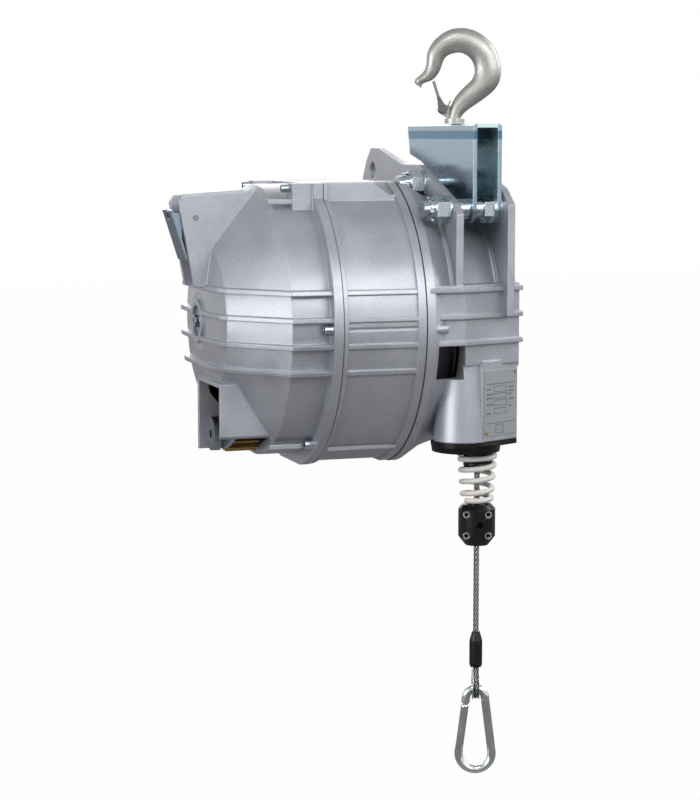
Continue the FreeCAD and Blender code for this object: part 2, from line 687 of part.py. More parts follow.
# Middle ring
ring_shell = turned("ring_shell", [
    (0, barrel_inside),
    (0, dim.ring_radius),
    (ring_right, dim.ring_radius),
    (ring_right, barrel_inside)])
ring_rib_body = turned("ring_rib_body", [
    (1, barrel_inside + 1),
    (1, dim.flange_radius - dim.ring_step * 2),
    (ring_right - 1, dim.flange_radius - dim.ring_step * 2),
    (ring_right - 1, barrel_inside + 1)])
ring_ribs = shared("ring_ribs", ring_rib_body, rib_slabs("ring", Length("1", 1), ring_right - 1))
ring_flange_radius = dim.flange_radius - dim.ring_step
ring_flanges = [
    trimmed_flange("ring_flange_l", ring_flange_radius, Length("0", 0), dim.ring_flange_left),
    trimmed_flange("ring_flange_r", ring_flange_radius, ring_right - dim.ring_flange_right, ring_right),
    square_top("ring_square_top", Length("0", 0), dim.ring_flange_left)]
roof_body = doc.addObject("PartDesign::Body", "ring_roof")
roof_sketch = sketch_outline(roof_body, "roof_outline", "XZ_Plane", [
    (0, dim.roof_low),
    (0, dim.roof_top),
    (dim.roof_level, dim.roof_top),
    (ring_right - 1, dim.roof_end),
    (ring_right - 1, dim.roof_low)])
roof_pad = roof_body.newObject("PartDesign::Pad", "roof_pad")
roof_pad.Profile = roof_sketch
roof_pad.Reversed = True
bind(roof_pad, "Length", dim.roof_half_width * 2)
bind(roof_body, "Placement.Base.y", -dim.roof_half_width)
roof_rims = []
for number, low_y in enumerate((-dim.roof_half_width, dim.roof_half_width - dim.roof_rim)):
    roof_rims.append(block("roof_rim_%d" % number, (dim.ring_flange_left / 2, low_y, dim.corner_low),
                           (dim.roof_level, low_y + dim.roof_rim, dim.flat_top)))
ring_room = rod("ring_room", barrel_inside * 2, ring_right + 2, (-1, 0, 0), ALONG_X)
ring_top = block("ring_top", (-1, -dim.flange_radius, dim.flat_top),
                 (ring_right + 1, dim.flange_radius, dim.flange_radius + 1))
ring_solid = joined("ring_solid", ring_shell, ring_ribs, roof_body, *(ring_flanges + roof_rims + beads(
    "ring_bead", Length("1", 1), ring_right - 1, dim.ring_radius)))
spring_ring = without("spring_ring", ring_solid, ring_room, ring_top,
                      *(screw_bores("ring_side_bore", side_screw_places(), dim.case_screw_dia,
                                    Length("-1", -1), ring_right + 1)
                        + screw_bores("ring_top_bore", top_screw_places(), dim.top_screw_dia,
                                      Length("-1", -1), dim.top_screw_reach + dim.seat_gap)))
seat(spring_ring, "spring_ring")

# Drum housing, the right casting with the lugs and the rope tower
housing_turned = turned("housing_turned", [
    (ring_right, 0),
    (ring_right, dim.flange_radius),
    (ring_right + dim.housing_flange, dim.flange_radius),
    (housing_cone_x, dim.barrel_radius),
    (housing_end, dim.housing_end_radius),
    (housing_end, dim.boss_radius),
    (housing_end + dim.boss_height, dim.boss_radius),
    (housing_end + dim.boss_height, 0)])
housing_shell = shared(
    "housing_shell", housing_turned,
    block("housing_flats", (ring_right, -dim.flange_radius, -dim.flat_bottom),
          (housing_end + dim.boss_height, dim.flange_radius, dim.flat_top)))
housing_cavity = turned("housing_cavity", [
    (ring_right - 1, 0),
    (ring_right - 1, barrel_inside),
    (housing_cone_x - 2, barrel_inside),
    (housing_end - dim.casing_wall, dim.housing_end_radius - dim.casing_wall + 1),
    (housing_end - dim.casing_wall, 0)])
housing_hub = turned("housing_hub", [
    (housing_end - dim.casing_wall + 1, 0),
    (housing_end - dim.casing_wall + 1, dim.boss_radius),
    (housing_end - dim.casing_wall - 6, dim.boss_radius - 2),
    (housing_end - dim.casing_wall - 6, 0)])
label_fall = sine(dim.label_angle) / cosine(dim.label_angle)
band_fall = sine(dim.band_angle) / cosine(dim.band_angle)
tower_tangent_x = dim.tower_x + dim.tower_radius * sine(dim.label_angle)
tower_tangent_y = dim.tower_y - dim.tower_radius * cosine(dim.label_angle)
label_end_y = tower_tangent_y + (dim.tower_right - tower_tangent_x) * label_fall
band_end_y = -dim.front_face + (dim.tower_right - dim.front_corner) * band_fall
band_back = -(dim.housing_end_radius / 2)


def band_outline(grow):
    """Plan of the thick front band, grown outwards for the ribs."""
    return [
        (ring_right + dim.housing_flange / 2, band_back),
        (ring_right + dim.housing_flange / 2, -dim.front_face - grow),
        (dim.front_corner, -dim.front_face - grow),
        (dim.tower_right + grow / 2, band_end_y - grow),
        (housing_end + grow / 2, band_end_y + 10 - grow / 2),
        (housing_end + grow / 2, band_back)]


band = slab("band", "XY_Plane", band_outline(Length("0", 0)), -dim.band_half_height,
            dim.band_half_height * 2)
band_ribs = shared(
    "band_ribs",
    slab("band_rib_body", "XY_Plane", band_outline(dim.rib_height / 2), -dim.band_half_height,
         dim.band_half_height * 2),
    rib_slabs("band", ring_right + 2, housing_end + dim.rib_height))
housing_rib_body = turned("housing_rib_body", [
    (ring_right + 2, 0),
    (ring_right + 2, dim.barrel_radius + dim.low_rib_height),
    (housing_cone_x + 2, dim.barrel_radius + dim.low_rib_height),
    (housing_end + dim.low_rib_height / 2, dim.housing_end_radius + dim.low_rib_height),
    (housing_end + dim.low_rib_height, dim.housing_end_radius - 4),
    (housing_end + dim.low_rib_height, 0)])
housing_ribs = shared("housing_ribs", housing_rib_body,
                      rib_slabs("housing", ring_right + 2, housing_end + dim.low_rib_height * 2))
tower_height = dim.tower_foot - dim.tower_top
tower_cone = cone("tower_cone", dim.tower_radius * 2, dim.tower_radius * 2 - dim.tower_draft * 2,
                  tower_height, (dim.tower_x, dim.tower_y, -dim.tower_foot))
tower_block = slab("tower_block", "XY_Plane", [
    (dim.tower_x - dim.tower_radius * 0.6, band_back),
    (dim.tower_x - dim.tower_radius * 0.6, dim.tower_y),
    (dim.tower_x, dim.tower_y),
    (tower_tangent_x, tower_tangent_y),
    (dim.tower_right, label_end_y),
    (dim.tower_right, band_back)], -dim.tower_foot, tower_height)


# Side views of the lugs as (y, z): the left one has an ear with the safety hole at its back
half_lug = dim.lug_half_width
left_lug = slab("left_lug", "YZ_Plane", [
    (-half_lug, dim.lug_foot),
    (-half_lug, dim.left_corner_z - 10.5),
    (dim.left_corner_y, dim.left_corner_z),
    (dim.bolt_one_y + 11, dim.lug_crest - 0.5),
    (dim.bolt_one_y + 66, dim.lug_crest),
    (dim.safety_hole_y - 16, dim.ear_top),
    (dim.safety_hole_y + 5.5, dim.ear_top),
    (dim.safety_hole_y + 20, dim.ear_top - 12.5),
    (half_lug, dim.lug_back),
    (half_lug, dim.lug_foot)], dim.lug_left, dim.lug_thickness)
right_lug = slab("right_lug", "YZ_Plane", [
    (-half_lug, dim.lug_foot),
    (-half_lug, dim.right_corner_z - 15),
    (dim.right_corner_y, dim.right_corner_z),
    (dim.bolt_one_y + 11, dim.right_crest),
    (half_lug, dim.lug_back),
    (half_lug, dim.lug_foot)], dim.lug_right, dim.lug_thickness)
front_boss = rod("front_boss", dim.front_boss_dia, dim.front_boss_length,
                 (dim.front_boss_left, -(dim.front_face + 3), dim.front_boss_z), ALONG_X)
housing_bore = rod("housing_bore", bush_dia, dim.boss_height + dim.casing_wall + 8,
                   (housing_end - dim.casing_wall - 8, 0, 0), ALONG_X)
housing_recess = rod("housing_recess", dim.boss_recess_radius * 2, dim.boss_recess_depth,
                     (housing_end + dim.boss_height - dim.boss_recess_depth, 0, 0), ALONG_X)
window = block("window", (dim.window_left, -(dim.front_face + 10), dim.window_top - dim.window_height),
               (dim.window_right, -(barrel_inside - 35), dim.window_top))
rope_room = rod("rope_room", dim.nozzle_dia, dim.tower_foot + 6,
                (dim.rope_exit_x, dim.line_y, -(dim.tower_foot + 1)))
bolt_places = [(dim.bolt_one_y, dim.bolt_one_z), (dim.bolt_two_y, dim.bolt_two_z)]
bolt_bore = dim.bolt_dia + dim.seat_gap * 2
lug_bores = []
for number, (y, z) in enumerate(bolt_places):
    lug_bores.append(rod("lug_bore_%d" % number, bolt_bore, dim.lug_right - dim.lug_left + 20,
                         (dim.lug_left - 5, y, z), ALONG_X))
safety_bore = rod("safety_bore", dim.safety_hole_dia, dim.lug_thickness + 4,
                  (dim.lug_left - 2, dim.safety_hole_y, dim.safety_hole_z), ALONG_X)
nut_room_left = ring_right + 1.5
nut_room = rod("nut_room", dim.washer_dia + 2, dim.lug_left - nut_room_left,
               (nut_room_left, dim.bolt_one_y, dim.bolt_one_z), ALONG_X)
nut_boss = shared("nut_boss",
                  rod("nut_boss_bar", dim.washer_dia + 2 + dim.casing_wall * 1.6, dim.lug_left - ring_right,
                      (ring_right, dim.bolt_one_y, dim.bolt_one_z), ALONG_X),
                  rod("nut_boss_round", dim.barrel_radius * 2, dim.lug_left - ring_right,
                      (ring_right, 0, 0), ALONG_X))
housing_solid = joined("housing_solid", housing_shell, housing_ribs, band, band_ribs, tower_cone,
                       tower_block, left_lug, right_lug, front_boss)
housing_hollow = without("housing_hollow", housing_solid, housing_cavity, rope_room)
housing_filled = joined("housing_filled", housing_hollow, housing_hub, nut_boss)
drum_housing = without("drum_housing", housing_filled, housing_bore, housing_recess, window, safety_bore, nut_room,
                       *(lug_bores + screw_bores("housing_side_bore", side_screw_places(), dim.case_screw_dia,
                                                 ring_right - 1, ring_right + dim.case_thread_depth + 0.5)))
seat(drum_housing, "drum_housing")

# Casing screws: four long ones through the ring, and two short ones on the upper corners
case_screws = []
screw_rows = [(place_yz, -dim.cover_flange, ring_right + dim.case_thread_depth, dim.case_screw_dia,
               dim.case_head_dia) for place_yz in side_screw_places()]
screw_rows += [(place_yz, -dim.boss_length, dim.top_screw_reach, dim.top_screw_dia,
                dim.top_head_dia) for place_yz in top_screw_places()]
for number, ((y, z), seat_x, screw_end, stem_dia, head_dia) in enumerate(screw_rows):
    head = rod("case_head_%d" % number, head_dia, dim.case_head_length,
               (seat_x - dim.case_head_length, y, z), ALONG_X)
    stem = rod("case_stem_%d" % number, stem_dia, screw_end - seat_x, (seat_x, y, z), ALONG_X)
    socket = hexagon("case_socket_%d" % number, dim.case_socket, dim.case_head_length / 2,
                     (seat_x - dim.case_head_length, y, z), ALONG_X)
    case_screws.append(without("case_screw_%d" % number, joined("case_bar_%d" % number, head, stem), socket))
seat(group("case_screws", *case_screws), "case_screws")

# Shaft bushes
for name, start in (("left_bush", -(dim.cover_length - 4)), ("right_bush", housing_end - dim.bush_length + 4)):
    bush = without(name, rod(name + "_bar", bush_dia, dim.bush_length, (start, 0, 0), ALONG_X),
                   rod(name + "_bore", dim.shaft_dia + dim.running_clearance * 2, dim.bush_length,
                       (start, 0, 0), ALONG_X))
    seat(bush, name)

# Suspension bracket: a channel open downwards, with legs that follow the two bolts
leg_low = dim.bolt_two_z - dim.bracket_round
bracket_section = [
    (dim.bracket_left, leg_low - 5),
    (dim.bracket_left, dim.bracket_top - dim.bracket_bend * 0.4),
    (dim.bracket_left + dim.bracket_bend * 0.4, dim.bracket_top),
    (dim.bracket_left + dim.bracket_width - dim.bracket_bend * 0.4, dim.bracket_top),
    (dim.bracket_left + dim.bracket_width, dim.bracket_top - dim.bracket_bend * 0.4),
    (dim.bracket_left + dim.bracket_width, leg_low - 5),
    (dim.bracket_left + dim.bracket_width - dim.bracket_plate, leg_low - 5),
    (dim.bracket_left + dim.bracket_width - dim.bracket_plate, dim.bracket_top - dim.bracket_plate),
    (dim.bracket_left + dim.bracket_plate, dim.bracket_top - dim.bracket_plate),
    (dim.bracket_left + dim.bracket_plate, leg_low - 5)]
channel_body = doc.addObject("PartDesign::Body", "bracket_channel")
channel_sketch = sketch_outline(channel_body, "bracket_section", "XZ_Plane", bracket_section)
channel_pad = channel_body.newObject("PartDesign::Pad", "bracket_pad")
channel_pad.Profile = channel_sketch
channel_pad.Reversed = True
bind(channel_pad, "Length", dim.bracket_back - dim.bracket_front)
bind(channel_body, "Placement.Base.y", dim.bracket_front)


def bracket_side():
    """Outline of the legs in side view, rounded about both bolts."""
    one = Vector(0, float(dim.bolt_one_y), float(dim.bolt_one_z))
    two = Vector(0, float(dim.bolt_two_y), float(dim.bolt_two_z))
    radius = float(dim.bracket_round)
    along = (one - two).normalize()
    down = Vector(0, along.z, -along.y)
    front = two + Vector(0, -radius, 0)
    front_mid = two + (Vector(0, -1, 0) + down).normalize() * radius
    low_two = two + down * radius
    low_one = one + down * radius
    low_mid = one + (down + along).normalize() * radius
    back_one = one + along * radius
    step = Vector(0, float(dim.bracket_back) - 41, float(dim.bracket_top) - 38)
    notch = Vector(0, float(dim.bracket_back) - 8, float(dim.bracket_top) - 31)
    top_back = Vector(0, float(dim.bracket_back), float(dim.bracket_top))
    top_front = Vector(0, front.y, float(dim.bracket_top))
    edges = [
        Part.LineSegment(top_front, front),
        Part.Arc(front, front_mid, low_two),
        Part.LineSegment(low_two, low_one),
        Part.Arc(low_one, low_mid, back_one),
        Part.LineSegment(back_one, step),
        Part.LineSegment(step, notch),
        Part.LineSegment(notch, top_back),
        Part.LineSegment(top_back, top_front)]
    face = Part.Face(Part.Wire([edge.toShape() for edge in edges]))
    solid = face.extrude(Vector(float(dim.bracket_width), 0, 0))
    solid.translate(Vector(float(dim.bracket_left), 0, 0))
    return solid


bracket_legs = shaped("bracket_legs", bracket_side())
bracket_blank = shared("bracket_blank", channel_body, bracket_legs)
bracket_cuts = [rod("bracket_hook_bore", dim.shank_dia + dim.running_clearance * 2, dim.bracket_plate + 4,
                    (dim.hook_x, dim.hook_y, dim.bracket_top - dim.bracket_plate - 2))]
for number, (y, z) in enumerate(bolt_places):
    bracket_cuts.append(rod("bracket_bore_%d" % number, bolt_bore, dim.bracket_width + 4,
                            (dim.bracket_left - 2, y, z), ALONG_X))
seat(without("suspension_bracket", bracket_blank, *bracket_cuts), "suspension_bracket")

# Suspension bolts, castle nuts, split pins, washers and spacers
bracket_right = dim.bracket_left + dim.bracket_width
lug_outside = dim.lug_right + dim.lug_thickness
inner_right = bracket_right - dim.bracket_plate
hex_left = inner_right - dim.washer_thickness - dim.bolt_hex_length
nut_start = dim.lug_left - dim.washer_thickness - dim.nut_length
crown_start = nut_start - dim.nut_collar
bolt_start = crown_start - dim.bolt_end
pin_x = crown_start + dim.nut_collar / 2
PIN_LEAN = 30


def crown_slot(name, y, z, angle):
    """A slot across a nut's crown, turned about the bolt."""
    piece = doc.addObject("Part::Box", name)
    span = dim.crown_dia + 2
    bind(piece, "Length", dim.nut_collar - 1)
    bind(piece, "Width", span)
    bind(piece, "Height", dim.crown_slot)
    corner = (crown_start - 0.01,
              y - cosine(angle) * span / 2 + sine(angle) * dim.crown_slot / 2,
              z - sine(angle) * span / 2 - cosine(angle) * dim.crown_slot / 2)
    return place(piece, corner, Rotation(Vector(1, 0, 0), angle))


def split_pin(name, diameter, length, y, z):
    """A round bar across the bolt, in line with one of the crown's slots."""
    start = (pin_x, y - sine(PIN_LEAN) * length / 2, z - cosine(PIN_LEAN) * length / 2)
    return rod(name, diameter, length, start, Rotation(Vector(1, 0, 0), -PIN_LEAN))


bolts, nuts, pins, spacers = [], [], [], []
for number, (y, z) in enumerate(bolt_places):
    stem = rod("bolt_stem_%d" % number, dim.bolt_dia, lug_outside - bolt_start, (bolt_start, y, z), ALONG_X)
    middle = hexagon("bolt_hex_%d" % number, dim.nut_flats, dim.bolt_hex_length, (hex_left, y, z), ALONG_X)
    pin_hole = split_pin("pin_hole_%d" % number, dim.split_pin_dia + dim.seat_gap * 2, dim.bolt_dia * 2, y, z)
    bolts.append(without("bolt_%d" % number, joined("bolt_bar_%d" % number, stem, middle), pin_hole))
    pins.append(split_pin("split_pin_%d" % number, dim.split_pin_dia, dim.split_pin_length, y, z))
    nut_hex = hexagon("nut_hex_%d" % number, dim.nut_flats, dim.nut_length, (nut_start, y, z), ALONG_X)
    nut_crown = rod("nut_crown_%d" % number, dim.crown_dia, dim.nut_collar + 1, (crown_start, y, z), ALONG_X)
    nut_bore = rod("nut_bore_%d" % number, dim.bolt_dia + dim.running_clearance * 2,
                   dim.nut_length + dim.nut_collar + 2, (crown_start - 1, y, z), ALONG_X)
    slots = [crown_slot("crown_slot_%d_%d" % (number, angle), y, z, angle) for angle in (0, 60, 120)]
    nuts.append(without("nut_%d" % number, joined("nut_bar_%d" % number, nut_hex, nut_crown), nut_bore, *slots))
    rings = [
        ("washer", dim.washer_dia, dim.lug_left - dim.washer_thickness, dim.lug_left),
        ("outer", dim.spacer_dia, dim.lug_left + dim.lug_thickness, dim.bracket_left),
        ("inner", dim.spacer_dia, dim.bracket_left + dim.bracket_plate, hex_left),
        ("plain", dim.washer_dia, inner_right - dim.washer_thickness, inner_right),
        ("shim", dim.washer_dia, bracket_right, dim.lug_right)]
    for kind, diameter, left, right in rings:
        bar = rod("%s_bar_%d" % (kind, number), diameter, right - left, (left, y, z), ALONG_X)
        bore = rod("%s_bore_%d" % (kind, number), dim.bolt_dia + dim.running_clearance * 2, right - left + 2,
                   (left - 1, y, z), ALONG_X)
        spacers.append(without("%s_%d" % (kind, number), bar, bore))
seat(group("suspension_bolts", *bolts), "suspension_bolts")
seat(group("suspension_nuts", *nuts), "suspension_nuts")
seat(group("split_pins", *pins), "split_pins")
seat(group("bracket_spacers", *spacers), "bracket_spacers")


# Lifting hook, lofted through ellipses along its curved centre line
def ellipse_wire(centre, tangent, half_width, half_depth):
    """An ellipse across a direction in the hook's XZ plane."""
    side = Vector(0, 1, 0).cross(tangent).normalize()
    wide = max(half_width, half_depth + 0.001)
    if half_width >= half_depth:
        curve = Part.Ellipse(centre + side * half_width, centre + Vector(0, 1, 0) * half_depth, centre)
    else:
        curve = Part.Ellipse(centre + Vector(0, 1, 0) * wide, centre + side * half_width, centre)
    return Part.Wire([curve.toShape()])


def hook_shape():
    """The forged hook with its collar, shank and latch ear, about its shank axis."""
    depth = float(dim.hook_depth) / 2
    top = float(dim.bowl_height)
    reach = float(dim.bowl_radius)
    off = float(dim.bowl_offset)
    stations = [
        (0.0, 4.0, 7.6, 0.78),
        (1.4, 12.0, 7.3, 0.78),
        (8.3, 22.0, 9.6, 0.86),
        (23.0, 34.5, 11.4, 0.95)]
    bowl = [
        (-18, 13.4, 1.0), (10, 13.4, 1.0), (38, 13.0, 1.0), (66, 12.8, 1.0), (92, 12.3, 1.0),
        (120, 10.9, 0.95), (148, 9.4, 0.88), (172, 8.0, 0.78)]
    centres = []
    for u, w, half, share in stations:
        centres.append((Vector(u, 0, w), half, depth * share))
    for angle, half, share in bowl:
        turn = math.radians(angle)
        spot = Vector(off + (reach + half) * math.cos(turn), 0, top + (reach + half) * math.sin(turn))
        centres.append((spot, half, depth * share))
    centres.append((Vector(off - 33.5, 0, top - 8.5), 5.7, depth * 0.62))
    centres.append((Vector(off - 39.3, 0, top - 16.5), 3.8, depth * 0.42))
    wires = []
    for number, (spot, half, deep) in enumerate(centres):
        before = centres[max(number - 1, 0)][0]
        after = centres[min(number + 1, len(centres) - 1)][0]
        wires.append(ellipse_wire(spot, (after - before).normalize(), half, deep))
    horn = Part.makeLoft(wires, True, False)
    collar = Part.makeCylinder(float(dim.collar_radius), float(dim.collar_height))
    shank = Part.makeCylinder(float(dim.shank_dia) / 2, float(dim.shank_length) + 2,
                              Vector(0, 0, -float(dim.shank_length)))
    ear_half = float(dim.ear_thickness) / 2
    pin = Vector(-float(dim.latch_pin_out), -ear_half, float(dim.latch_pin_up))
    ear = Part.makeCylinder(5.0, 2 * ear_half, pin, Vector(0, 1, 0))
    web = Part.makePolygon([
        Vector(-1, -ear_half, 4), Vector(-6, -ear_half, 4), pin + Vector(-4.2, 0, -3), pin + Vector(2, 0, 5),
        Vector(-1, -ear_half, 17), Vector(-1, -ear_half, 4)])
    web_solid = Part.Face(web).extrude(Vector(0, 2 * ear_half, 0))
    pin_bore = Part.makeCylinder(float(dim.latch_pin_dia) / 2 + float(dim.running_clearance), 4 * ear_half,
                                 pin - Vector(0, ear_half, 0), Vector(0, 1, 0))
    return horn.fuse([collar, shank, ear, web_solid]).cut(pin_bore)


def swivelled(shape):
    """Turn a shape drawn in the hook's own plane to its place above the bracket."""
    turned_shape = shape.copy()
    turned_shape.rotate(Vector(0, 0, 0), Vector(0, 0, 1), float(dim.hook_turn))
    return turned_shape


hook_place = (dim.hook_x, dim.hook_y, dim.bracket_top)
lifting_hook = shaped("lifting_hook", swivelled(hook_shape()))
seat(lifting_hook, "lifting_hook", hook_place)
washer_top = dim.bracket_top - dim.bracket_plate
hook_bore = dim.shank_dia + dim.running_clearance * 2
hook_washer = without("hook_washer",
                      rod("hook_washer_bar", dim.hook_nut_dia, dim.thrust_washer,
                          (dim.hook_x, dim.hook_y, washer_top - dim.thrust_washer)),
                      rod("hook_washer_bore", hook_bore, dim.thrust_washer + 2,
                          (dim.hook_x, dim.hook_y, washer_top - dim.thrust_washer - 1)))
seat(hook_washer, "hook_washer")
hook_nut_top = washer_top - dim.thrust_washer - dim.seat_gap
hook_nut = without("hook_nut",
                   rod("hook_nut_bar", dim.hook_nut_dia, dim.hook_nut_length,
                       (dim.hook_x, dim.hook_y, hook_nut_top - dim.hook_nut_length)),
                   rod("hook_nut_bore", hook_bore, dim.hook_nut_length + 2,
                       (dim.hook_x, dim.hook_y, hook_nut_top - dim.hook_nut_length - 1)))
seat(hook_nut, "hook_nut")


def latch_shape():
    """The latch: two cheeks beside the ear and an arm that reaches under the hook's point."""
    ear_half = float(dim.ear_thickness) / 2 + float(dim.seat_gap)
    sheet_wall = float(dim.latch_sheet)
    pin = Vector(-float(dim.latch_pin_out), 0, float(dim.latch_pin_up))
    lean = math.radians(107.5)
    along = Vector(math.cos(lean), 0, math.sin(lean))
    across = Vector(along.z, 0, -along.x)
    pieces = []
    for side in (-1, 1):
        start = ear_half if side > 0 else -ear_half - sheet_wall
        lift = Vector(0, start, 0)
        cheek = Part.makeCylinder(4.6, sheet_wall, pin + lift, Vector(0, 1, 0))
        arm = Part.makePolygon([pin + across * 3 + lift, pin + across * 2 + along * 12 + lift,
                                pin - across * 1.5 + along * 12 + lift, pin - across * 4 + lift,
                                pin + across * 3 + lift])
        pieces += [cheek, Part.Face(arm).extrude(Vector(0, sheet_wall, 0))]
    bridge = Part.makeBox(4.0, 2 * ear_half + 2 * sheet_wall, 3.0)
    bridge.translate(Vector(-2.0, -ear_half - sheet_wall, 9.2))
    bridge.rotate(Vector(0, 0, 0), Vector(0, 1, 0), 90 - math.degrees(lean))
    bridge.translate(pin)
    finger = Part.makeCylinder(float(dim.latch_wire) / 2, float(dim.latch_length) - 9.5, pin + along * 9.5, along)
    shape = bridge.fuse(pieces + [finger])
    bore = Part.makeCylinder(float(dim.latch_pin_dia) / 2 + float(dim.running_clearance), 30,
                             pin - Vector(0, 15, 0), Vector(0, 1, 0))
    return shape.cut(bore)


seat(shaped("hook_latch", swivelled(latch_shape())), "hook_latch", hook_place)
pin_half = float(dim.ear_thickness) / 2 + float(dim.seat_gap) + float(dim.latch_sheet)
latch_pin_shape = Part.makeCylinder(float(dim.latch_pin_dia) / 2, 2 * pin_half + 1,
                                    Vector(-float(dim.latch_pin_out), -pin_half - 0.5, float(dim.latch_pin_up)),
                                    Vector(0, 1, 0))
for side in (-1, 1):
    start = pin_half + 0.5 if side > 0 else -pin_half - 2.5
    latch_pin_shape = latch_pin_shape.fuse(Part.makeCylinder(
        4.0, 2.0, Vector(-float(dim.latch_pin_out), start, float(dim.latch_pin_up)), Vector(0, 1, 0)))
seat(shaped("latch_pin", swivelled(latch_pin_shape)), "latch_pin", hook_place)

# Lock lever between the fins
fin_room_front = dim.fin_front + dim.fin_thickness
fin_room_back = dim.fin_back - dim.fin_thickness
lever_front = fin_room_front + dim.seat_gap
lever_back = fin_room_back - dim.seat_gap


def lever_shape():
    """A folded strip: two cheeks on the pin, joined by an outer wall that hangs down, with two upper prongs."""
    plate = float(dim.lever_plate)
    front = float(lever_front)
    back = float(lever_back)
    pin = Vector(-float(dim.lever_pin_x), 0, float(dim.lever_pin_z))
    bore = float(dim.lever_pin_dia) / 2 + float(dim.running_clearance)
    upper = pin + Vector(-float(dim.lever_length), 0, float(dim.lever_rise))
    lower = pin + Vector(-float(dim.lever_foot_x), 0, -float(dim.lever_foot_z))
    along = (lower - upper).normalize()
    inward = Vector(-along.z, 0, along.x)
    corners = [upper, pin + Vector(1, 0, 6), pin + Vector(6, 0, 1), pin + Vector(3, 0, -6),
               upper + along * 17 + inward * 6, upper + along * 28 + inward * plate, upper + along * 28]
    face = Part.Face(Part.makePolygon(corners + corners[:1]))
    cheeks = []
    for start in (front, back - plate):
        cheek = face.extrude(Vector(0, plate, 0))
        cheek.translate(Vector(0, start, 0))
        cheeks.append(cheek)
    strip = [upper - along * 3, upper - along * 3 + inward * plate, lower + inward * plate, lower]
    wall = Part.Face(Part.makePolygon(strip + strip[:1])).extrude(Vector(0, back - front, 0))
    wall.translate(Vector(0, front, 0))
    middle = (front + back) / 2
    gap = float(dim.lever_prong_gap)
    slot = Part.makeBox(20, gap, 12, Vector(upper.x - 8, middle - gap / 2, upper.z - 6))
    hole = Part.makeCylinder(bore, back - front + 2, pin + Vector(0, front - 1, 0), Vector(0, 1, 0))
    return cheeks[0].fuse([cheeks[1], wall]).cut([hole, slot])


seat(shaped("lock_lever", lever_shape()), "lock_lever")
seat(rod("lock_pin", dim.lever_pin_dia, dim.fin_back - dim.fin_front + 1,
         (-dim.lever_pin_x, dim.fin_front - 0.5, dim.lever_pin_z), ALONG_Y), "lock_pin",
     (-dim.lever_pin_x, dim.fin_front - 0.5, dim.lever_pin_z))

# Main shaft with the spring arbor, the drum and its rope
key_left = (dim.drum_left + dim.drum_right - dim.key_length) / 2
shaft_bar = rod("shaft_bar", dim.shaft_dia, shaft_right - shaft_left, (shaft_left, 0, 0), ALONG_X)
key_seat = block("key_seat", (key_left, -(dim.key_width / 2), dim.shaft_dia / 2 - dim.key_height / 2),
                 (key_left + dim.key_length, dim.key_width / 2, dim.shaft_dia / 2 + 1))
end_bore = rod("end_bore", dim.end_screw_dia, 22, (shaft_left - 1, 0, 0), ALONG_X)
seat(without("main_shaft", shaft_bar, key_seat, end_bore), "main_shaft")
seat(block("drum_key", (0, 0, 0), (dim.key_length, dim.key_width, dim.key_height)), "drum_key",
     (key_left, -(dim.key_width / 2), dim.shaft_dia / 2 - dim.key_height / 2))
washer_start = shaft_left - dim.end_washer_thickness
seat(without("end_washer", rod("end_washer_bar", dim.end_washer_dia, dim.end_washer_thickness,
                               (washer_start, 0, 0), ALONG_X),
             rod("end_washer_bore", dim.end_screw_dia + 0.2, dim.end_washer_thickness + 2,
                 (washer_start - 1, 0, 0), ALONG_X)), "end_washer")
end_head = rod("end_head", dim.end_head_dia, dim.end_head_length,
               (washer_start - dim.end_head_length, 0, 0), ALONG_X)
end_stem = rod("end_stem", dim.end_screw_dia, 20 + dim.end_washer_thickness, (washer_start, 0, 0), ALONG_X)
end_socket = hexagon("end_socket", dim.end_head_dia / 2, dim.end_head_length / 2,
                     (washer_start - dim.end_head_length, 0, 0), ALONG_X)
seat(without("end_screw", joined("end_screw_bar", end_head, end_stem), end_socket), "end_screw")

seat_radius = dim.winding_radius - dim.rope_dia / 2 - dim.seat_gap / 2
first_turn = dim.rope_exit_x - dim.winding_pitch * (dim.winding_count - 1)
seat_slope = dim.winding_taper / dim.winding_pitch
seat_left = seat_radius + (dim.rope_exit_x - dim.drum_left) * seat_slope
seat_right = seat_radius - (dim.drum_right - dim.rope_exit_x) * seat_slope
web_left = (dim.drum_left + dim.drum_right - dim.drum_web) / 2
drum_body = turned("drum_body", [
    (dim.drum_left, seat_left - dim.drum_rim),
    (dim.drum_left, seat_left + dim.drum_lip),
    (dim.drum_left + dim.drum_lip_width, seat_left + dim.drum_lip),
    (dim.drum_left + dim.drum_lip_width, seat_left - dim.drum_lip_width * seat_slope),
    (dim.drum_right - dim.drum_lip_width, seat_right + dim.drum_lip_width * seat_slope),
    (dim.drum_right - dim.drum_lip_width, seat_right + dim.drum_lip),
    (dim.drum_right, seat_right + dim.drum_lip),
    (dim.drum_right, seat_right - dim.drum_rim),
    (web_left + dim.drum_web, seat_right - dim.drum_rim),
    (web_left + dim.drum_web, dim.hub_radius),
    (key_left + dim.key_length, dim.hub_radius),
    (key_left + dim.key_length, dim.shaft_dia / 2 + dim.running_clearance),
    (key_left, dim.shaft_dia / 2 + dim.running_clearance),
    (key_left, dim.hub_radius),
    (web_left, dim.hub_radius),
    (web_left, seat_left - dim.drum_rim)])
key_way = block("key_way", (key_left - 1, -(dim.key_width / 2), 0 - dim.running_clearance),
                (key_left + dim.key_length + 1, dim.key_width / 2, dim.shaft_dia / 2 + dim.key_height / 2 + 0.3))
seat(without("rope_drum", drum_body, key_way), "rope_drum")


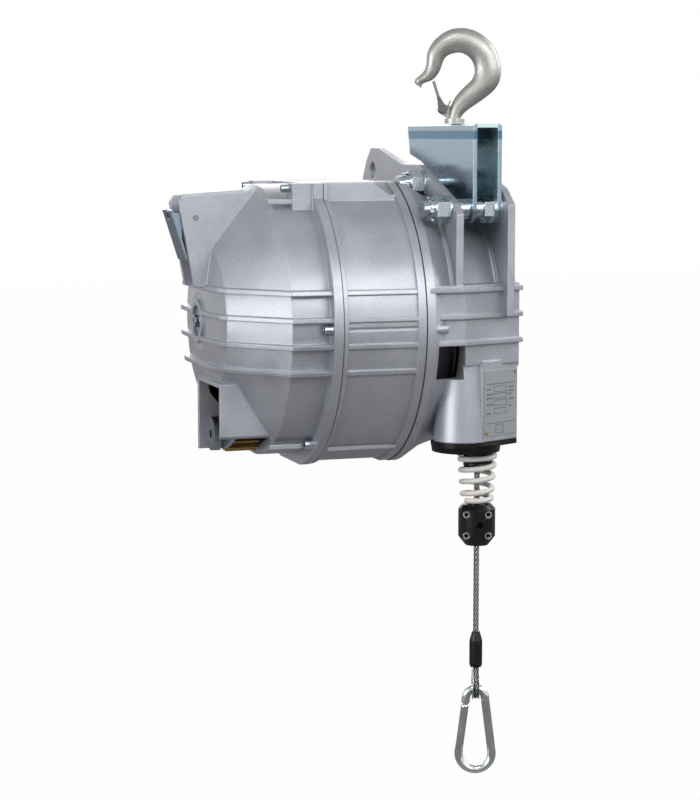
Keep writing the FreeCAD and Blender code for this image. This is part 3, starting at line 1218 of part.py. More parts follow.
def winding_corners():
    """Profile of the wound turns: a few corners for each turn's outer half, then back along the seat."""
    corners = []
    count = int(float(dim.winding_count))
    half = dim.rope_dia / 2
    lift = dim.running_clearance * 2
    for turn in range(count):
        x = first_turn + dim.winding_pitch * turn
        r = dim.winding_radius + dim.winding_taper * (count - 1 - turn) + lift
        for angle in (180, 135, 90, 45, 0):
            corners.append((x + half * cosine(angle), r + half * sine(angle)))
    last = dim.winding_radius + lift
    first = dim.winding_radius + dim.winding_taper * (count - 1) + lift
    corners.append((dim.rope_exit_x + half * 0.6, last - half * 0.7))
    corners.append((first_turn - half * 0.6, first - half * 0.7))
    return corners


rope_way = rod("rope_way", dim.rope_dia + dim.seat_gap * 2, dim.winding_radius / 2,
               (dim.rope_exit_x, -dim.winding_radius, -(dim.winding_radius / 2)))
seat(without("rope_windings", turned("winding_body", winding_corners()), rope_way), "rope_windings")

case_right = dim.case_length - dim.case_left
arbor_left = -(dim.case_left - dim.case_wall - 1)
arbor_right = case_right - dim.case_wall - 1
seat(turned("spring_arbor", [
    (arbor_left, dim.shaft_dia / 2 + dim.running_clearance),
    (arbor_left, dim.arbor_radius),
    (arbor_right, dim.arbor_radius),
    (arbor_right, dim.shaft_dia / 2 + dim.running_clearance)]), "spring_arbor")

# Spring case with its lid, the two power springs and the ring gear
partition = (case_right - dim.case_left) / 2
hub_bore = dim.shaft_dia / 2 + dim.running_clearance
seat(turned("spring_case", [
    (-dim.case_left, hub_bore),
    (-dim.case_left, dim.case_radius),
    (case_right - dim.case_wall, dim.case_radius),
    (case_right - dim.case_wall, dim.case_radius - dim.case_wall),
    (partition + dim.case_wall / 2, dim.case_radius - dim.case_wall),
    (partition + dim.case_wall / 2, dim.spring_inner_radius - 5),
    (partition - dim.case_wall / 2, dim.spring_inner_radius - 5),
    (partition - dim.case_wall / 2, dim.case_radius - dim.case_wall),
    (-(dim.case_left - dim.case_wall), dim.case_radius - dim.case_wall),
    (-(dim.case_left - dim.case_wall), hub_bore)]), "spring_case")
seat(turned("spring_case_lid", [
    (case_right - dim.case_wall, hub_bore),
    (case_right - dim.case_wall, dim.case_radius),
    (case_right, dim.case_radius),
    (case_right, hub_bore)]), "spring_case_lid")
springs = []
for number, (left, right) in enumerate((
        (-(dim.case_left - dim.case_wall), partition - dim.case_wall / 2),
        (partition + dim.case_wall / 2, case_right - dim.case_wall))):
    springs.append(turned("power_spring_%d" % number, [
        (left + 1, dim.spring_inner_radius),
        (left + 1, dim.case_radius - dim.case_wall - dim.seat_gap),
        (right - 1, dim.case_radius - dim.case_wall - dim.seat_gap),
        (right - 1, dim.spring_inner_radius)]))
seat(group("power_springs", *springs), "power_springs")


def gear_outline(teeth, phase, backlash):
    """Corners of a spur gear with straight-sided teeth, as a closed polygon about X."""
    module = float(dim.tooth_module)
    pitch = module * teeth / 2
    tip = pitch + module * 0.95
    root = pitch - module * 1.2
    quarter = math.pi / (2 * teeth)
    slack = backlash / (2 * pitch)
    points = []
    for tooth in range(teeth):
        middle = phase + 2 * math.pi * tooth / teeth
        steps = ((root, -1.45), (tip, -0.5), (tip, 0.5), (root, 1.45))
        for radius, share in steps:
            shift = quarter * share - math.copysign(slack, share)
            points.append((radius, middle + shift))
    return [Vector(0, r * math.cos(a), r * math.sin(a)) for r, a in points]


def gear_shape(teeth, phase, width, bore, backlash):
    corners = gear_outline(teeth, phase, backlash)
    rim = Part.Face(Part.makePolygon(corners + corners[:1])).extrude(Vector(width, 0, 0))
    return rim.cut(Part.makeCylinder(bore, width + 2, Vector(-1, 0, 0), Vector(1, 0, 0)))


gear_count = int(float(dim.gear_teeth))
pinion_count = int(float(dim.pinion_teeth))
centre_distance = dim.tooth_module * (dim.gear_teeth + dim.pinion_teeth) / 2 + dim.gear_backlash
pinion_y = -(centre_distance * cosine(dim.adjuster_angle))
pinion_z = -(centre_distance * sine(dim.adjuster_angle))
mesh_angle = math.atan2(float(pinion_z), float(pinion_y))
gear_ring = gear_shape(gear_count, mesh_angle, float(dim.gear_width), float(dim.spring_inner_radius) + 20,
                       float(dim.gear_backlash))
seat(shaped("ring_gear", gear_ring), "ring_gear", (-(dim.case_left + dim.gear_width), 0, 0))

# Adjuster: the long pinion on its shaft, carried by a plate in the box
pinion_phase = mesh_angle + math.pi + math.pi / pinion_count
pinion_shape = gear_shape(pinion_count, pinion_phase, float(dim.pinion_width),
                          float(dim.adjuster_shaft_dia) / 2 + float(dim.running_clearance),
                          float(dim.gear_backlash))
pinion_left = -(dim.cover_barrel + dim.pinion_width + 5)
seat(shaped("adjusting_pinion", pinion_shape), "adjusting_pinion", (pinion_left, pinion_y, pinion_z))
head_left = -(dim.box_reach - dim.head_inset)
plate_left = head_left + dim.adjuster_head_length + dim.seat_gap
adjusting_bar = joined(
    "adjusting_bar",
    rod("adjusting_head", dim.adjuster_head_dia, dim.adjuster_head_length, (head_left, pinion_y, pinion_z), ALONG_X),
    rod("adjusting_stem", dim.adjuster_shaft_dia, -head_left - dim.case_left - 1.5, (head_left, pinion_y, pinion_z),
        ALONG_X))
seat(without("adjusting_shaft", adjusting_bar,
             hexagon("adjusting_socket", dim.adjuster_socket, 6, (head_left, pinion_y, pinion_z), ALONG_X)),
     "adjusting_shaft")
adjuster_plate = without(
    "adjuster_plate",
    shared("adjuster_plate_bar",
           block("adjuster_plate_block",
                 (plate_left, dim.box_front + dim.box_wall, pinion_z - dim.adjuster_plate_half),
                 (plate_left + dim.adjuster_plate_thickness, dim.box_back - dim.box_wall,
                  pinion_z + dim.adjuster_plate_half)),
           rod("adjuster_plate_round", dim.box_radius * 2 - 2, dim.adjuster_plate_thickness,
               (plate_left, 0, 0), ALONG_X)),
    rod("adjuster_plate_bore", dim.adjuster_shaft_dia + dim.running_clearance * 2,
        dim.adjuster_plate_thickness + 2, (plate_left - 1, pinion_y, pinion_z), ALONG_X))
seat(adjuster_plate, "adjuster_plate")

# Rating plate with its rivets on the label face
label_turn = Rotation(Vector(0, 0, 1), float(dim.label_angle))
label_mid_x = (tower_tangent_x + dim.tower_right) / 2
label_mid_y = (tower_tangent_y + label_end_y) / 2
plate_top = -dim.plate_top
label_along = (cosine(dim.label_angle), sine(dim.label_angle))
label_out = (sine(dim.label_angle), -cosine(dim.label_angle))


def on_label(along, out, up):
    """A point on the label face: along it, out of it, and its height."""
    return (label_mid_x + label_along[0] * along + label_out[0] * out,
            label_mid_y + label_along[1] * along + label_out[1] * out, up)


plate = doc.addObject("Part::Box", "rating_plate")
bind(plate, "Length", dim.plate_width)
bind(plate, "Width", dim.plate_thickness)
bind(plate, "Height", dim.plate_height)
plate.Placement = FreeCAD.Placement(Vector(0, 0, 0), label_turn)
plate_corner = on_label(-(dim.plate_width / 2), dim.plate_thickness, plate_top - dim.plate_height)
seat(plate, "rating_plate", plate_corner)
rivets = []
for number, side in enumerate((1, -1)):
    centre = on_label((dim.plate_width / 2 - 3) * side, dim.plate_thickness + 0.8,
                      plate_top - dim.plate_height / 2 + (dim.plate_height / 2 - 3) * side)
    rivet = doc.addObject("Part::Cylinder", "rivet_%d" % number)
    bind(rivet, "Radius", dim.rivet_dia / 2)
    rivet.Height = 0.8
    place(rivet, centre, label_turn.multiply(ALONG_Y))
    rivets.append(rivet)
seat(group("plate_rivets", *rivets), "plate_rivets")

# Rope guide: black base under the tower, with the nozzle that the spring sits round
base_top = -dim.tower_foot
base_low = base_top - dim.base_thickness
base_plate = slab("base_plate", "XY_Plane", [
    (dim.tower_x, dim.tower_y + dim.tower_radius),
    (dim.tower_x, dim.tower_y),
    (tower_tangent_x, tower_tangent_y),
    (dim.tower_right, label_end_y),
    (dim.tower_right, dim.tower_y + dim.tower_radius)], base_low, dim.base_thickness)
base_round = rod("base_round", dim.tower_radius * 2, dim.base_thickness, (dim.tower_x, dim.tower_y, base_low))
nose_x = dim.tower_x + (dim.nose_dia / 2 - dim.tower_radius)
base_nose = cone("base_nose", dim.nose_dia - 3, dim.nose_dia, dim.nose_thickness + 3,
                 (nose_x, dim.tower_y + (dim.nose_dia / 2 - dim.tower_radius), base_low - dim.nose_thickness))
base_bore = rod("base_bore", dim.guide_bore + 8, dim.base_thickness + dim.nose_thickness + 4,
                (dim.rope_exit_x, dim.line_y, base_low - dim.nose_thickness - 2))
seat(without("rope_guide_base", joined("base_solid", base_plate, base_round, base_nose), base_bore),
     "rope_guide_base")
nozzle_top = base_low - dim.nose_thickness
seat(turned("rope_nozzle", [
    (dim.guide_bore / 2, 0 - dim.nozzle_length),
    (dim.nozzle_dia / 2 - 4, 0 - dim.nozzle_length),
    (dim.nozzle_dia / 2 - 2, -(dim.nozzle_length - 3)),
    (dim.nozzle_dia / 2 - 2, -(dim.nozzle_length / 2)),
    (dim.nozzle_dia / 2, -(dim.nozzle_length / 2)),
    (dim.nozzle_dia / 2, 0),
    (dim.guide_bore / 2 + 4, 0),
    (dim.guide_bore / 2 + 4, dim.nose_thickness + dim.base_thickness),
    (dim.guide_bore / 2, dim.nose_thickness + dim.base_thickness)], upright=True), "rope_nozzle",
     (dim.rope_exit_x, dim.line_y, nozzle_top))

# The line: rope from the drum, clamp in two halves, buffer spring, hanging rope, sleeve and eye
line = (dim.rope_exit_x, dim.line_y)
rope_run = rod("rope_run", dim.rope_dia, dim.clamp_top - dim.seat_gap, line + (-(dim.clamp_top - dim.seat_gap / 2),))
seat(rope_run, "rope_run", line + (-(dim.clamp_top),))
clamp_low = -(dim.clamp_top + dim.clamp_height)


def clamp_half(name, side):
    """One half of the round rope clamp, split by a plane through the rope."""
    body = turned(name + "_body", [
        (0, clamp_low + 0.01),
        (dim.clamp_dia / 2 - 7, clamp_low + 0.01),
        (dim.clamp_dia / 2, clamp_low + 9),
        (dim.clamp_dia / 2, -(dim.clamp_top + 6)),
        (dim.clamp_dia / 2 - 4, -(dim.clamp_top + 1.5)),
        (dim.clamp_dia / 2 - 10, -dim.clamp_top),
        (0, -dim.clamp_top)], upright=True)
    reach = dim.clamp_dia
    near = dim.clamp_split / 2 * side
    low = (-reach, near if side > 0 else near - reach, clamp_low - 1)
    high = (reach, near + reach if side > 0 else near, -(dim.clamp_top - 1))
    half = shared(name + "_half", body, block(name + "_side", low, high))
    bores = [rod(name + "_rope_bore", dim.rope_dia + dim.running_clearance * 2, dim.clamp_height + 2,
                 (0, 0, clamp_low - 1))]
    for number, (x, z) in enumerate(clamp_screw_places()):
        bores.append(rod("%s_bore_%d" % (name, number), dim.clamp_screw_dia + dim.running_clearance * 2,
                         dim.clamp_dia + 4, (x, -(dim.clamp_dia / 2 + 2), z), ALONG_Y))
        if side < 0:
            bores.append(rod("%s_sink_%d" % (name, number), dim.clamp_head_dia + 0.4, dim.clamp_dia / 2 - 9,
                             (x, -(dim.clamp_dia / 2), z), ALONG_Y))
    return without(name, half, *bores)


def clamp_screw_places():
    middle = -(dim.clamp_top + dim.clamp_height / 2)
    rise = dim.clamp_height / 4
    return [(dim.clamp_screw_out * a, middle + rise * b) for a in (-1, 1) for b in (-1, 1)]


clamp_turn = Rotation(Vector(0, 0, 1), float(dim.hook_turn))
for name, side in (("clamp_front", -1), ("clamp_back", 1)):
    half = clamp_half(name, side)
    half.Placement = FreeCAD.Placement(Vector(0, 0, 0), clamp_turn)
    seat(half, name, line + (0,))
clamp_screws = []
for number, (x, z) in enumerate(clamp_screw_places()):
    head_y = -(dim.clamp_dia / 2 - 5)
    head = rod("clamp_head_%d" % number, dim.clamp_head_dia, 4, (x, head_y, z), ALONG_Y)
    stem = rod("clamp_stem_%d" % number, dim.clamp_screw_dia, dim.clamp_dia / 2 + 2, (x, head_y, z), ALONG_Y)
    socket = hexagon("clamp_socket_%d" % number, dim.clamp_screw_dia * 0.8, 2, (x, head_y, z), ALONG_Y)
    clamp_screws.append(without("clamp_screw_%d" % number, joined("clamp_bar_%d" % number, head, stem), socket))
clamp_set = group("clamp_screws", *clamp_screws)
clamp_set.Placement = FreeCAD.Placement(Vector(0, 0, 0), clamp_turn)
seat(clamp_set, "clamp_screws", line + (0,))

spring_top = nozzle_top - dim.seat_gap
spring_low = -(dim.clamp_top) + dim.seat_gap


def buffer_shape():
    """A tapered coil: an eight-sided section carried along a conical helix in short straight steps."""
    wire = float(dim.spring_wire)
    height = float(spring_top) - float(spring_low) - wire
    foot = (float(dim.spring_low_dia) - wire) / 2
    top = (float(dim.spring_top_dia) - wire) / 2
    turns = float(dim.spring_turns)
    count = int(turns * 18)
    sections = []
    for step in range(count + 1):
        share = step / count
        turn = 2 * math.pi * turns * share
        radius = foot + (top - foot) * share
        lean = math.atan(height / (2 * math.pi * turns * radius))
        outward = Vector(math.cos(turn), math.sin(turn), 0)
        upward = Vector(math.sin(turn) * math.sin(lean), -math.cos(turn) * math.sin(lean), math.cos(lean))
        centre = outward * radius + Vector(0, 0, height * share)
        ring = []
        for corner in range(8):
            angle = math.pi * (corner + 0.5) / 4
            ring.append(centre + outward * (math.cos(angle) * wire / 2) + upward * (math.sin(angle) * wire / 2))
        sections.append(Part.makePolygon(ring + ring[:1]))
    return Part.makeLoft(sections, True, True)


seat(shaped("buffer_spring", buffer_shape()), "buffer_spring", line + (spring_low + dim.spring_wire / 2,))
hang_top = clamp_low
seat(rod("hanging_rope", dim.rope_dia, dim.hanging_length + dim.clamp_height,
         line + (hang_top - dim.hanging_length,)),
     "hanging_rope", line + (hang_top - dim.hanging_length,))
sleeve_top = hang_top - dim.hanging_length
seat(turned("rope_sleeve", [
    (0, 0 - dim.sleeve_length),
    (dim.sleeve_dia / 2 - 1, 0 - dim.sleeve_length),
    (dim.sleeve_dia / 2, -(dim.sleeve_length - 3)),
    (dim.sleeve_dia / 2, -(dim.sleeve_length * 0.25)),
    (dim.rope_dia / 2 + 1, 0),
    (0, 0)], upright=True), "rope_sleeve", line + (sleeve_top,))
sleeve_low = sleeve_top - dim.sleeve_length
eye_z = sleeve_low - dim.eye_drop
eye_ring = doc.addObject("Part::Torus", "eye_ring")
bind(eye_ring, "Radius1", dim.eye_radius)
bind(eye_ring, "Radius2", dim.eye_thickness / 2)
place(eye_ring, (0, 0, -dim.eye_drop), ALONG_X)
eye_neck = cone("eye_neck", dim.eye_radius * 1.7, dim.sleeve_dia - 2.5, dim.eye_drop - dim.eye_radius * 0.75,
                (0, 0, -(dim.eye_drop - dim.eye_radius * 0.75)))
eye_hole = rod("eye_hole", dim.eye_radius * 2 - dim.eye_thickness, dim.eye_radius * 4,
               (-(dim.eye_radius * 2), 0, -dim.eye_drop), ALONG_X)
eye_sides = block("eye_sides", (-(dim.eye_thickness / 2), -(dim.eye_radius + 4), -(dim.eye_drop + 20)),
                  (dim.eye_thickness / 2, dim.eye_radius + 4, 0 * dim.eye_drop))
rope_eye = joined("rope_eye", eye_ring, shared("eye_neck_flat", without("eye_neck_open", eye_neck, eye_hole),
                                               eye_sides))
rope_eye.Placement = FreeCAD.Placement(Vector(0, 0, 0), clamp_turn)
seat(rope_eye, "rope_eye", line + (sleeve_low,))

# Carabiner: a pear-shaped ring of round wire with a gate on its left side
bar_top = eye_z - (dim.eye_radius - dim.eye_thickness / 2)
arc_top = bar_top + dim.seat_gap + dim.carabiner_wire / 2
carabiner_centre = arc_top - dim.carabiner_top_radius


def carabiner_path():
    """The ring's centre line in the XZ plane: tangent points on both arcs, about the top centre."""
    top = float(dim.carabiner_top_radius)
    foot = float(dim.carabiner_low_radius)
    span = float(dim.carabiner_span)
    lean = math.asin((foot - top) / span)
    cos, sin = math.cos(lean), math.sin(lean)
    low = Vector(0, 0, -span)
    points = {
        "top_right": Vector(top * cos, 0, top * sin),
        "top_left": Vector(-top * cos, 0, top * sin),
        "low_right": low + Vector(foot * cos, 0, foot * sin),
        "low_left": low + Vector(-foot * cos, 0, foot * sin)}
    return points, low, lean


def pipe_along(edges, radius):
    """A round bar along a chain of tangent edges."""
    path = Part.Wire([edge.toShape() for edge in edges])
    first = path.Edges[0]
    start = first.valueAt(first.FirstParameter)
    tangent = first.tangentAt(first.FirstParameter)
    section = Part.Wire([Part.Circle(start, tangent, radius).toShape()])
    return path.makePipeShell([section], True, True)


def carabiner_shape():
    points, low, lean = carabiner_path()
    top = float(dim.carabiner_top_radius)
    foot = float(dim.carabiner_low_radius)
    side = points["low_left"] - points["top_left"]
    gate_start = points["top_left"] + side * 0.12
    gate_end = points["low_left"] - side * 0.06
    edges = [
        Part.LineSegment(gate_start, points["top_left"]),
        Part.Arc(points["top_left"], Vector(0, 0, top), points["top_right"]),
        Part.LineSegment(points["top_right"], points["low_right"]),
        Part.Arc(points["low_right"], low + Vector(0, 0, -foot), points["low_left"]),
        Part.LineSegment(points["low_left"], gate_end)]
    return pipe_along(edges, float(dim.carabiner_wire) / 2)


def gate_shape():
    """The gate: a straight bar between the ring's two ends, with a small gap at each."""
    points, low, lean = carabiner_path()
    side = points["low_left"] - points["top_left"]
    start = points["top_left"] + side * 0.12
    end = points["low_left"] - side * 0.06
    unit = (end - start).normalize()
    gap = float(dim.seat_gap)
    radius = float(dim.carabiner_wire) / 2 - gap
    pivot = start + unit * (gap + radius)
    length = (end - pivot).Length - gap
    bar = Part.makeCylinder(radius, length, pivot, unit)
    rivet = Part.makeCylinder(1.6, 2 * radius + 1, pivot - Vector(0, radius + 0.5, 0), Vector(0, 1, 0))
    return bar.fuse([Part.makeSphere(radius, pivot), rivet])


carabiner_place = line + (carabiner_centre,)
seat(shaped("carabiner", swivelled(carabiner_shape())), "carabiner", carabiner_place)
seat(shaped("carabiner_gate", swivelled(gate_shape())), "carabiner_gate", carabiner_place)

# Build everything, check it and write each sub-part
doc.recompute()
faults = [thing.Name for thing in doc.Objects if "Invalid" in thing.State or "Error" in thing.State]
for piece in sub_parts:
    if piece.Shape.isNull() or not piece.Shape.isValid():
        faults.append(piece.Label)
if faults:
    raise RuntimeError("these objects did not build: " + ", ".join(faults))
os.makedirs("parts", exist_ok=True)
for piece in sub_parts:
    piece.Shape.exportStep("parts/%s.step" % piece.Label)
    box = piece.Shape.BoundBox
    print("%-20s solids %d volume %.0f  x %.1f %.1f  y %.1f %.1f  z %.1f %.1f" % (
        piece.Label, len(piece.Shape.Solids), piece.Shape.Volume,
        box.XMin, box.XMax, box.YMin, box.YMax, box.ZMin, box.ZMax))
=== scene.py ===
import math
import bpy
import numpy as np
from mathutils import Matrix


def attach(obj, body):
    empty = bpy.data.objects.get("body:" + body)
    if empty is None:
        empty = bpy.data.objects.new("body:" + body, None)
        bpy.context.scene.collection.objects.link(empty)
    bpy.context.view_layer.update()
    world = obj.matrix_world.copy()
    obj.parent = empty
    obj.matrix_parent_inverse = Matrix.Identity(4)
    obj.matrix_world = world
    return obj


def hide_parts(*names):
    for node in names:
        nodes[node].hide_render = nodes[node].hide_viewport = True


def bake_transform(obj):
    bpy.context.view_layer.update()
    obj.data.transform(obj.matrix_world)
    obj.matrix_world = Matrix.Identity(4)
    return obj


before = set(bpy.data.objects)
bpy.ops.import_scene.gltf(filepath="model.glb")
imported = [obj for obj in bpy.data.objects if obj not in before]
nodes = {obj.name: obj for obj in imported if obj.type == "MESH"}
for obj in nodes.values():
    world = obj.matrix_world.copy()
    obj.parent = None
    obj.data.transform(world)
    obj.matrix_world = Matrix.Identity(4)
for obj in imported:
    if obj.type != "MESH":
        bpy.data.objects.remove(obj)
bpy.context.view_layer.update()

# The camera stands at the photographer's place: to the left of the balancer's front and a little
# above its middle, with a long lens so that the casing's ribs stay nearly parallel.
lens = bpy.data.cameras.new("camera")
lens.lens = 99.0
lens.sensor_width = 36.0
camera = bpy.data.objects.new("camera", lens)
camera.location = (-0.816, -2.10084, -0.0826)
camera.rotation_euler = (math.radians(83.13), 0, math.radians(-18.53))
bpy.context.scene.collection.objects.link(camera)
bpy.context.scene.camera = camera
bpy.context.scene.view_settings.view_transform = "Standard"


# The load rope below the clamp: six strands of drawn steel wire laid round a core strand, about
# 6 mm thick, bare and greased. The load pulls it straight, down into its pressed ferrule.

def colour(text):
    """The linear colour of an sRGB hex value."""
    parts = [int(text[i:i + 2], 16) / 255 for i in (0, 2, 4)]
    return [c / 12.92 if c <= 0.04045 else ((c + 0.055) / 1.055) ** 2.4 for c in parts] + [1.0]


def finish_of(name, hue, rough, metal):
    """A new material with its surface shader's plain colour, roughness and metallic set."""
    made = bpy.data.materials.new(name)
    made.use_nodes = True
    surface = made.node_tree.nodes["Principled BSDF"]
    surface.inputs["Base Color"].default_value = colour(hue)
    surface.inputs["Roughness"].default_value = rough
    surface.inputs["Metallic"].default_value = metal
    return made, surface


def add(made, kind, out=0, **given):
    """One shader node; each word is one of its settings, or an input by its name or as in_0."""
    node = made.node_tree.nodes.new("ShaderNode" + kind)
    for key, value in given.items():
        if not key.startswith("in_") and key in node.bl_rna.properties:
            setattr(node, key, value)
            continue
        socket = node.inputs[int(key[3:]) if key.startswith("in_") else key.replace("_", " ")]
        if hasattr(value, "is_linked"):
            made.node_tree.links.new(value, socket)
        else:
            socket.default_value = value
    return node.outputs[out]


def feed(surface, **outputs):
    """Links each output to the shader's input of that name."""
    for key, output in outputs.items():
        surface.id_data.links.new(output, surface.inputs[key.replace("_", " ")])


def piece(name, grids, made, body, ring=False, loop=False, shut=True, sharp=38):
    """Grids of points, each rows by columns, joined into quads.

    Ring joins the last column to the first and loop the last row to the first, and shut closes
    a ring's open ends with one face each. The UV map runs 0 to 1 round the columns and counts
    the rows. Faces of a closed mesh whose volume comes out negative are turned round.
    """
    grids = np.asarray(grids, float)
    if grids.ndim == 3:
        grids = grids[None]
    count, rows, cols, _ = grids.shape
    u = np.arange(rows if loop else rows - 1)[:, None]
    v = np.arange(cols if ring else cols - 1)[None, :]
    after_u, after_v = (u + 1) % rows, (v + 1) % cols
    quads = np.stack([u * cols + v, u * cols + after_v, after_u * cols + after_v, after_u * cols + v], -1)
    starts = np.arange(count)[:, None, None] * rows * cols
    quads = (quads.reshape(1, -1, 4) + starts).reshape(-1, 4)
    points = grids.reshape(-1, 3)
    corner = points[quads]
    volume = np.einsum("ij,ij->i", corner[:, 0], np.cross(corner[:, 1], corner[:, 2]))
    volume += np.einsum("ij,ij->i", corner[:, 0], np.cross(corner[:, 2], corner[:, 3]))
    faces = quads.tolist()
    if shut and ring and not loop:
        edge = np.arange(cols)
        faces += (starts[:, 0] + edge[::-1]).tolist()
        faces += (starts[:, 0] + (rows - 1) * cols + edge).tolist()
    mesh = bpy.data.meshes.new(name)
    mesh.from_pydata(points.tolist(), [], faces)
    uv = np.zeros((len(mesh.loops), 2), np.float32)
    across = np.stack([v, v + 1, v + 1, v], -1)
    along = np.stack([u, u, u + 1, u + 1], -1)
    pairs = np.stack(np.broadcast_arrays(across / cols, along), -1).reshape(-1, 2)
    uv[:len(pairs) * count] = np.tile(pairs, (count, 1))
    mesh.uv_layers.new(name="around_and_along").data.foreach_set("uv", uv.ravel())
    if (ring or loop) and volume.sum() < 0:
        mesh.flip_normals()
    mesh.polygons.foreach_set("use_smooth", np.ones(len(mesh.polygons), bool))
    mesh.set_sharp_from_angle(angle=math.radians(sharp))
    mesh.materials.append(made)
    thing = bpy.data.objects.new(name, mesh)
    bpy.context.scene.collection.objects.link(thing)
    if body:
        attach(thing, body)
    return thing


def unit(vectors):
    """The vectors scaled to length one."""
    return vectors / np.linalg.norm(vectors, axis=-1, keepdims=True)


def evenly(points, step):
    """Points along a polyline, about one step apart."""
    gaps = np.linalg.norm(np.diff(points, axis=0), axis=1)
    place = np.concatenate([[0], np.cumsum(gaps)])
    wanted = np.linspace(0, place[-1], int(place[-1] / step) + 2)
    return np.stack([np.interp(wanted, place, points[:, i]) for i in range(3)], -1)


def laid_strands(route, side, thick, lay, strands, corners):
    """Round strands laid on a helix about a route, and one straight core strand.

    A strand's centre lies at the helix radius, a third of the rope's thickness, turned one full
    turn in each lay length; its ring is drawn in the plane square to its own tilted direction.
    """
    gaps = np.linalg.norm(np.diff(route, axis=0), axis=1)
    place = np.concatenate([[0], np.cumsum(gaps)])
    ahead = unit(np.gradient(route, axis=0))
    first = unit(side - (side * ahead).sum(-1, keepdims=True) * ahead)
    second = np.cross(ahead, first)
    turn = (2 * math.pi * (place[None] / lay + np.arange(strands)[:, None] / strands))[..., None]
    radius = thick / 3
    outward = np.cos(turn) * first + np.sin(turn) * second
    onward = np.cos(turn) * second - np.sin(turn) * first
    tilt = math.atan2(2 * math.pi * radius, lay)
    level = math.cos(tilt) * onward - math.sin(tilt) * ahead
    centre = route + radius * outward
    angle = np.linspace(0, 2 * math.pi, corners, endpoint=False)[:, None]
    ring = np.cos(angle) * outward[:, :, None] + np.sin(angle) * level[:, :, None]
    core = np.cos(angle) * first[:, None] + np.sin(angle) * second[:, None]
    tubes = centre[:, :, None] + thick / 6 * ring
    return np.concatenate([tubes, (route[:, None] + thick / 6 * core)[None]])


def curve_points(name, points):
    """Points along the NURBS curve of order 3 that has the given control points, ends included."""
    line = bpy.data.curves.new(name, "CURVE")
    line.dimensions = "3D"
    line.resolution_u = 24
    spline = line.splines.new("NURBS")
    spline.points.add(len(points) - 1)
    spline.points.foreach_set("co", [c for p in points for c in (*p, 1)])
    spline.order_u = 3
    spline.use_endpoint_u = True
    holder = bpy.data.objects.new(name, line)
    bpy.context.scene.collection.objects.link(holder)
    bpy.context.view_layer.update()
    sampled = bpy.data.meshes.new_from_object(holder.evaluated_get(bpy.context.evaluated_depsgraph_get()))
    read = np.empty(len(sampled.vertices) * 3)
    sampled.vertices.foreach_get("co", read)
    bpy.data.objects.remove(holder)
    bpy.data.meshes.remove(sampled)
    return read.reshape(-1, 3)


def wire_rope_finish(name, groove_shade, bright, rough):
    """Drawn wire: slanting lines 0.9 mm apart, with a painted highlight on a strand's crown and painted
    shade, near black, in its grooves.
    """
    made, surface = finish_of(name, bright, rough, 1.0)
    uv = add(made, "UVMap", uv_map="around_and_along")
    parts = add(made, "SeparateXYZ", Vector=uv).node
    slant = add(made, "Math", operation="MULTIPLY_ADD", in_0=parts.outputs[0], in_1=7.0,
                in_2=add(made, "Math", operation="MULTIPLY", in_0=parts.outputs[1], in_1=0.22))
    wave = add(made, "Math", operation="SINE",
               in_0=add(made, "Math", operation="MULTIPLY", in_0=slant, in_1=2 * math.pi))
    height = add(made, "MapRange", in_0=wave, in_1=-1.0, in_2=1.0, in_3=0.4, in_4=1.0)
    # Painted light: each strand's outer crown is painted bright and the grooves between strands near black,
    # standing in for highlight and shade.
    round_once = add(made, "Math", operation="MULTIPLY", in_0=parts.outputs[0], in_1=2 * math.pi)
    outer = add(made, "Math", operation="COSINE", in_0=round_once)
    crown_highlight_mask = add(made, "MapRange", in_0=outer, in_1=0.2, in_2=0.95, in_3=0.0, in_4=1.0)
    painted_light_amount = add(made, "Math", operation="MULTIPLY", in_0=height, in_1=crown_highlight_mask)
    shade = add(made, "Mix", 2, data_type="RGBA", in_0=painted_light_amount, in_6=colour(groove_shade), in_7=colour(bright))
    bump = add(made, "Bump", Height=height, Strength=0.6, Distance=0.0002)
    feed(surface, Base_Color=shade, Normal=bump)
    return made


rope_thick = 0.006
rope_lay = 0.031
line_x, line_y = 0.002, -0.063
hang_top, hang_low = -0.4505, -0.5835
hang_route = [(line_x, line_y, hang_top), (line_x, line_y, -0.476), (line_x, line_y, -0.503),
              (line_x, line_y, -0.530), (line_x, line_y, -0.557), (line_x, line_y, hang_low)]
rope_steel = wire_rope_finish("bright_wire_rope", "070505", "bdb6b2", 0.3)
hang_line = evenly(curve_points("hang_route", hang_route), 0.0014)
sideways = np.array([1.0, 0.0, 0.0])
load_rope = piece("load_rope", laid_strands(hang_line, sideways, rope_thick, rope_lay, 6, 8), rope_steel,
                  "line", ring=True)
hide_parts("hanging_rope")

# The rope's end: it turns round a pressed steel thimble, a channel bent to a teardrop whose two
# bright flanges hold the rope, and comes back up into the ferrule under a black shrunk sleeve.
turn = math.radians(-18.5)
facing = np.array([math.sin(turn), -math.cos(turn), 0])
across = np.array([math.cos(turn), math.sin(turn), 0])
upward = np.array([0, 0, 1.0])
eye_centre = np.array([line_x, line_y, -0.640])
eye_radius = 0.0105
eye_apex = 0.0215
touch = math.acos(eye_radius / eye_apex)
bend = np.linspace(math.pi / 2 - touch, -math.pi * 1.5 + touch, 44)
drop = np.stack([np.cos(bend), np.sin(bend)], -1) * eye_radius
legs = np.linspace(0, 1, 7)[:-1, None]
apex = np.array([[0.0008, eye_apex - 0.001], [-0.0008, eye_apex - 0.001]])
down_leg = apex[0] + (drop[0] - apex[0]) * legs
back_leg = drop[-1] + (apex[1] - drop[-1]) * (legs + 1 / 6)
drop = np.concatenate([down_leg, drop, back_leg])
loop_route = eye_centre + drop[:, :1] * facing + drop[:, 1:] * upward
loop_ahead = unit(np.gradient(loop_route, axis=0))
loop_out = np.cross(loop_ahead, across)
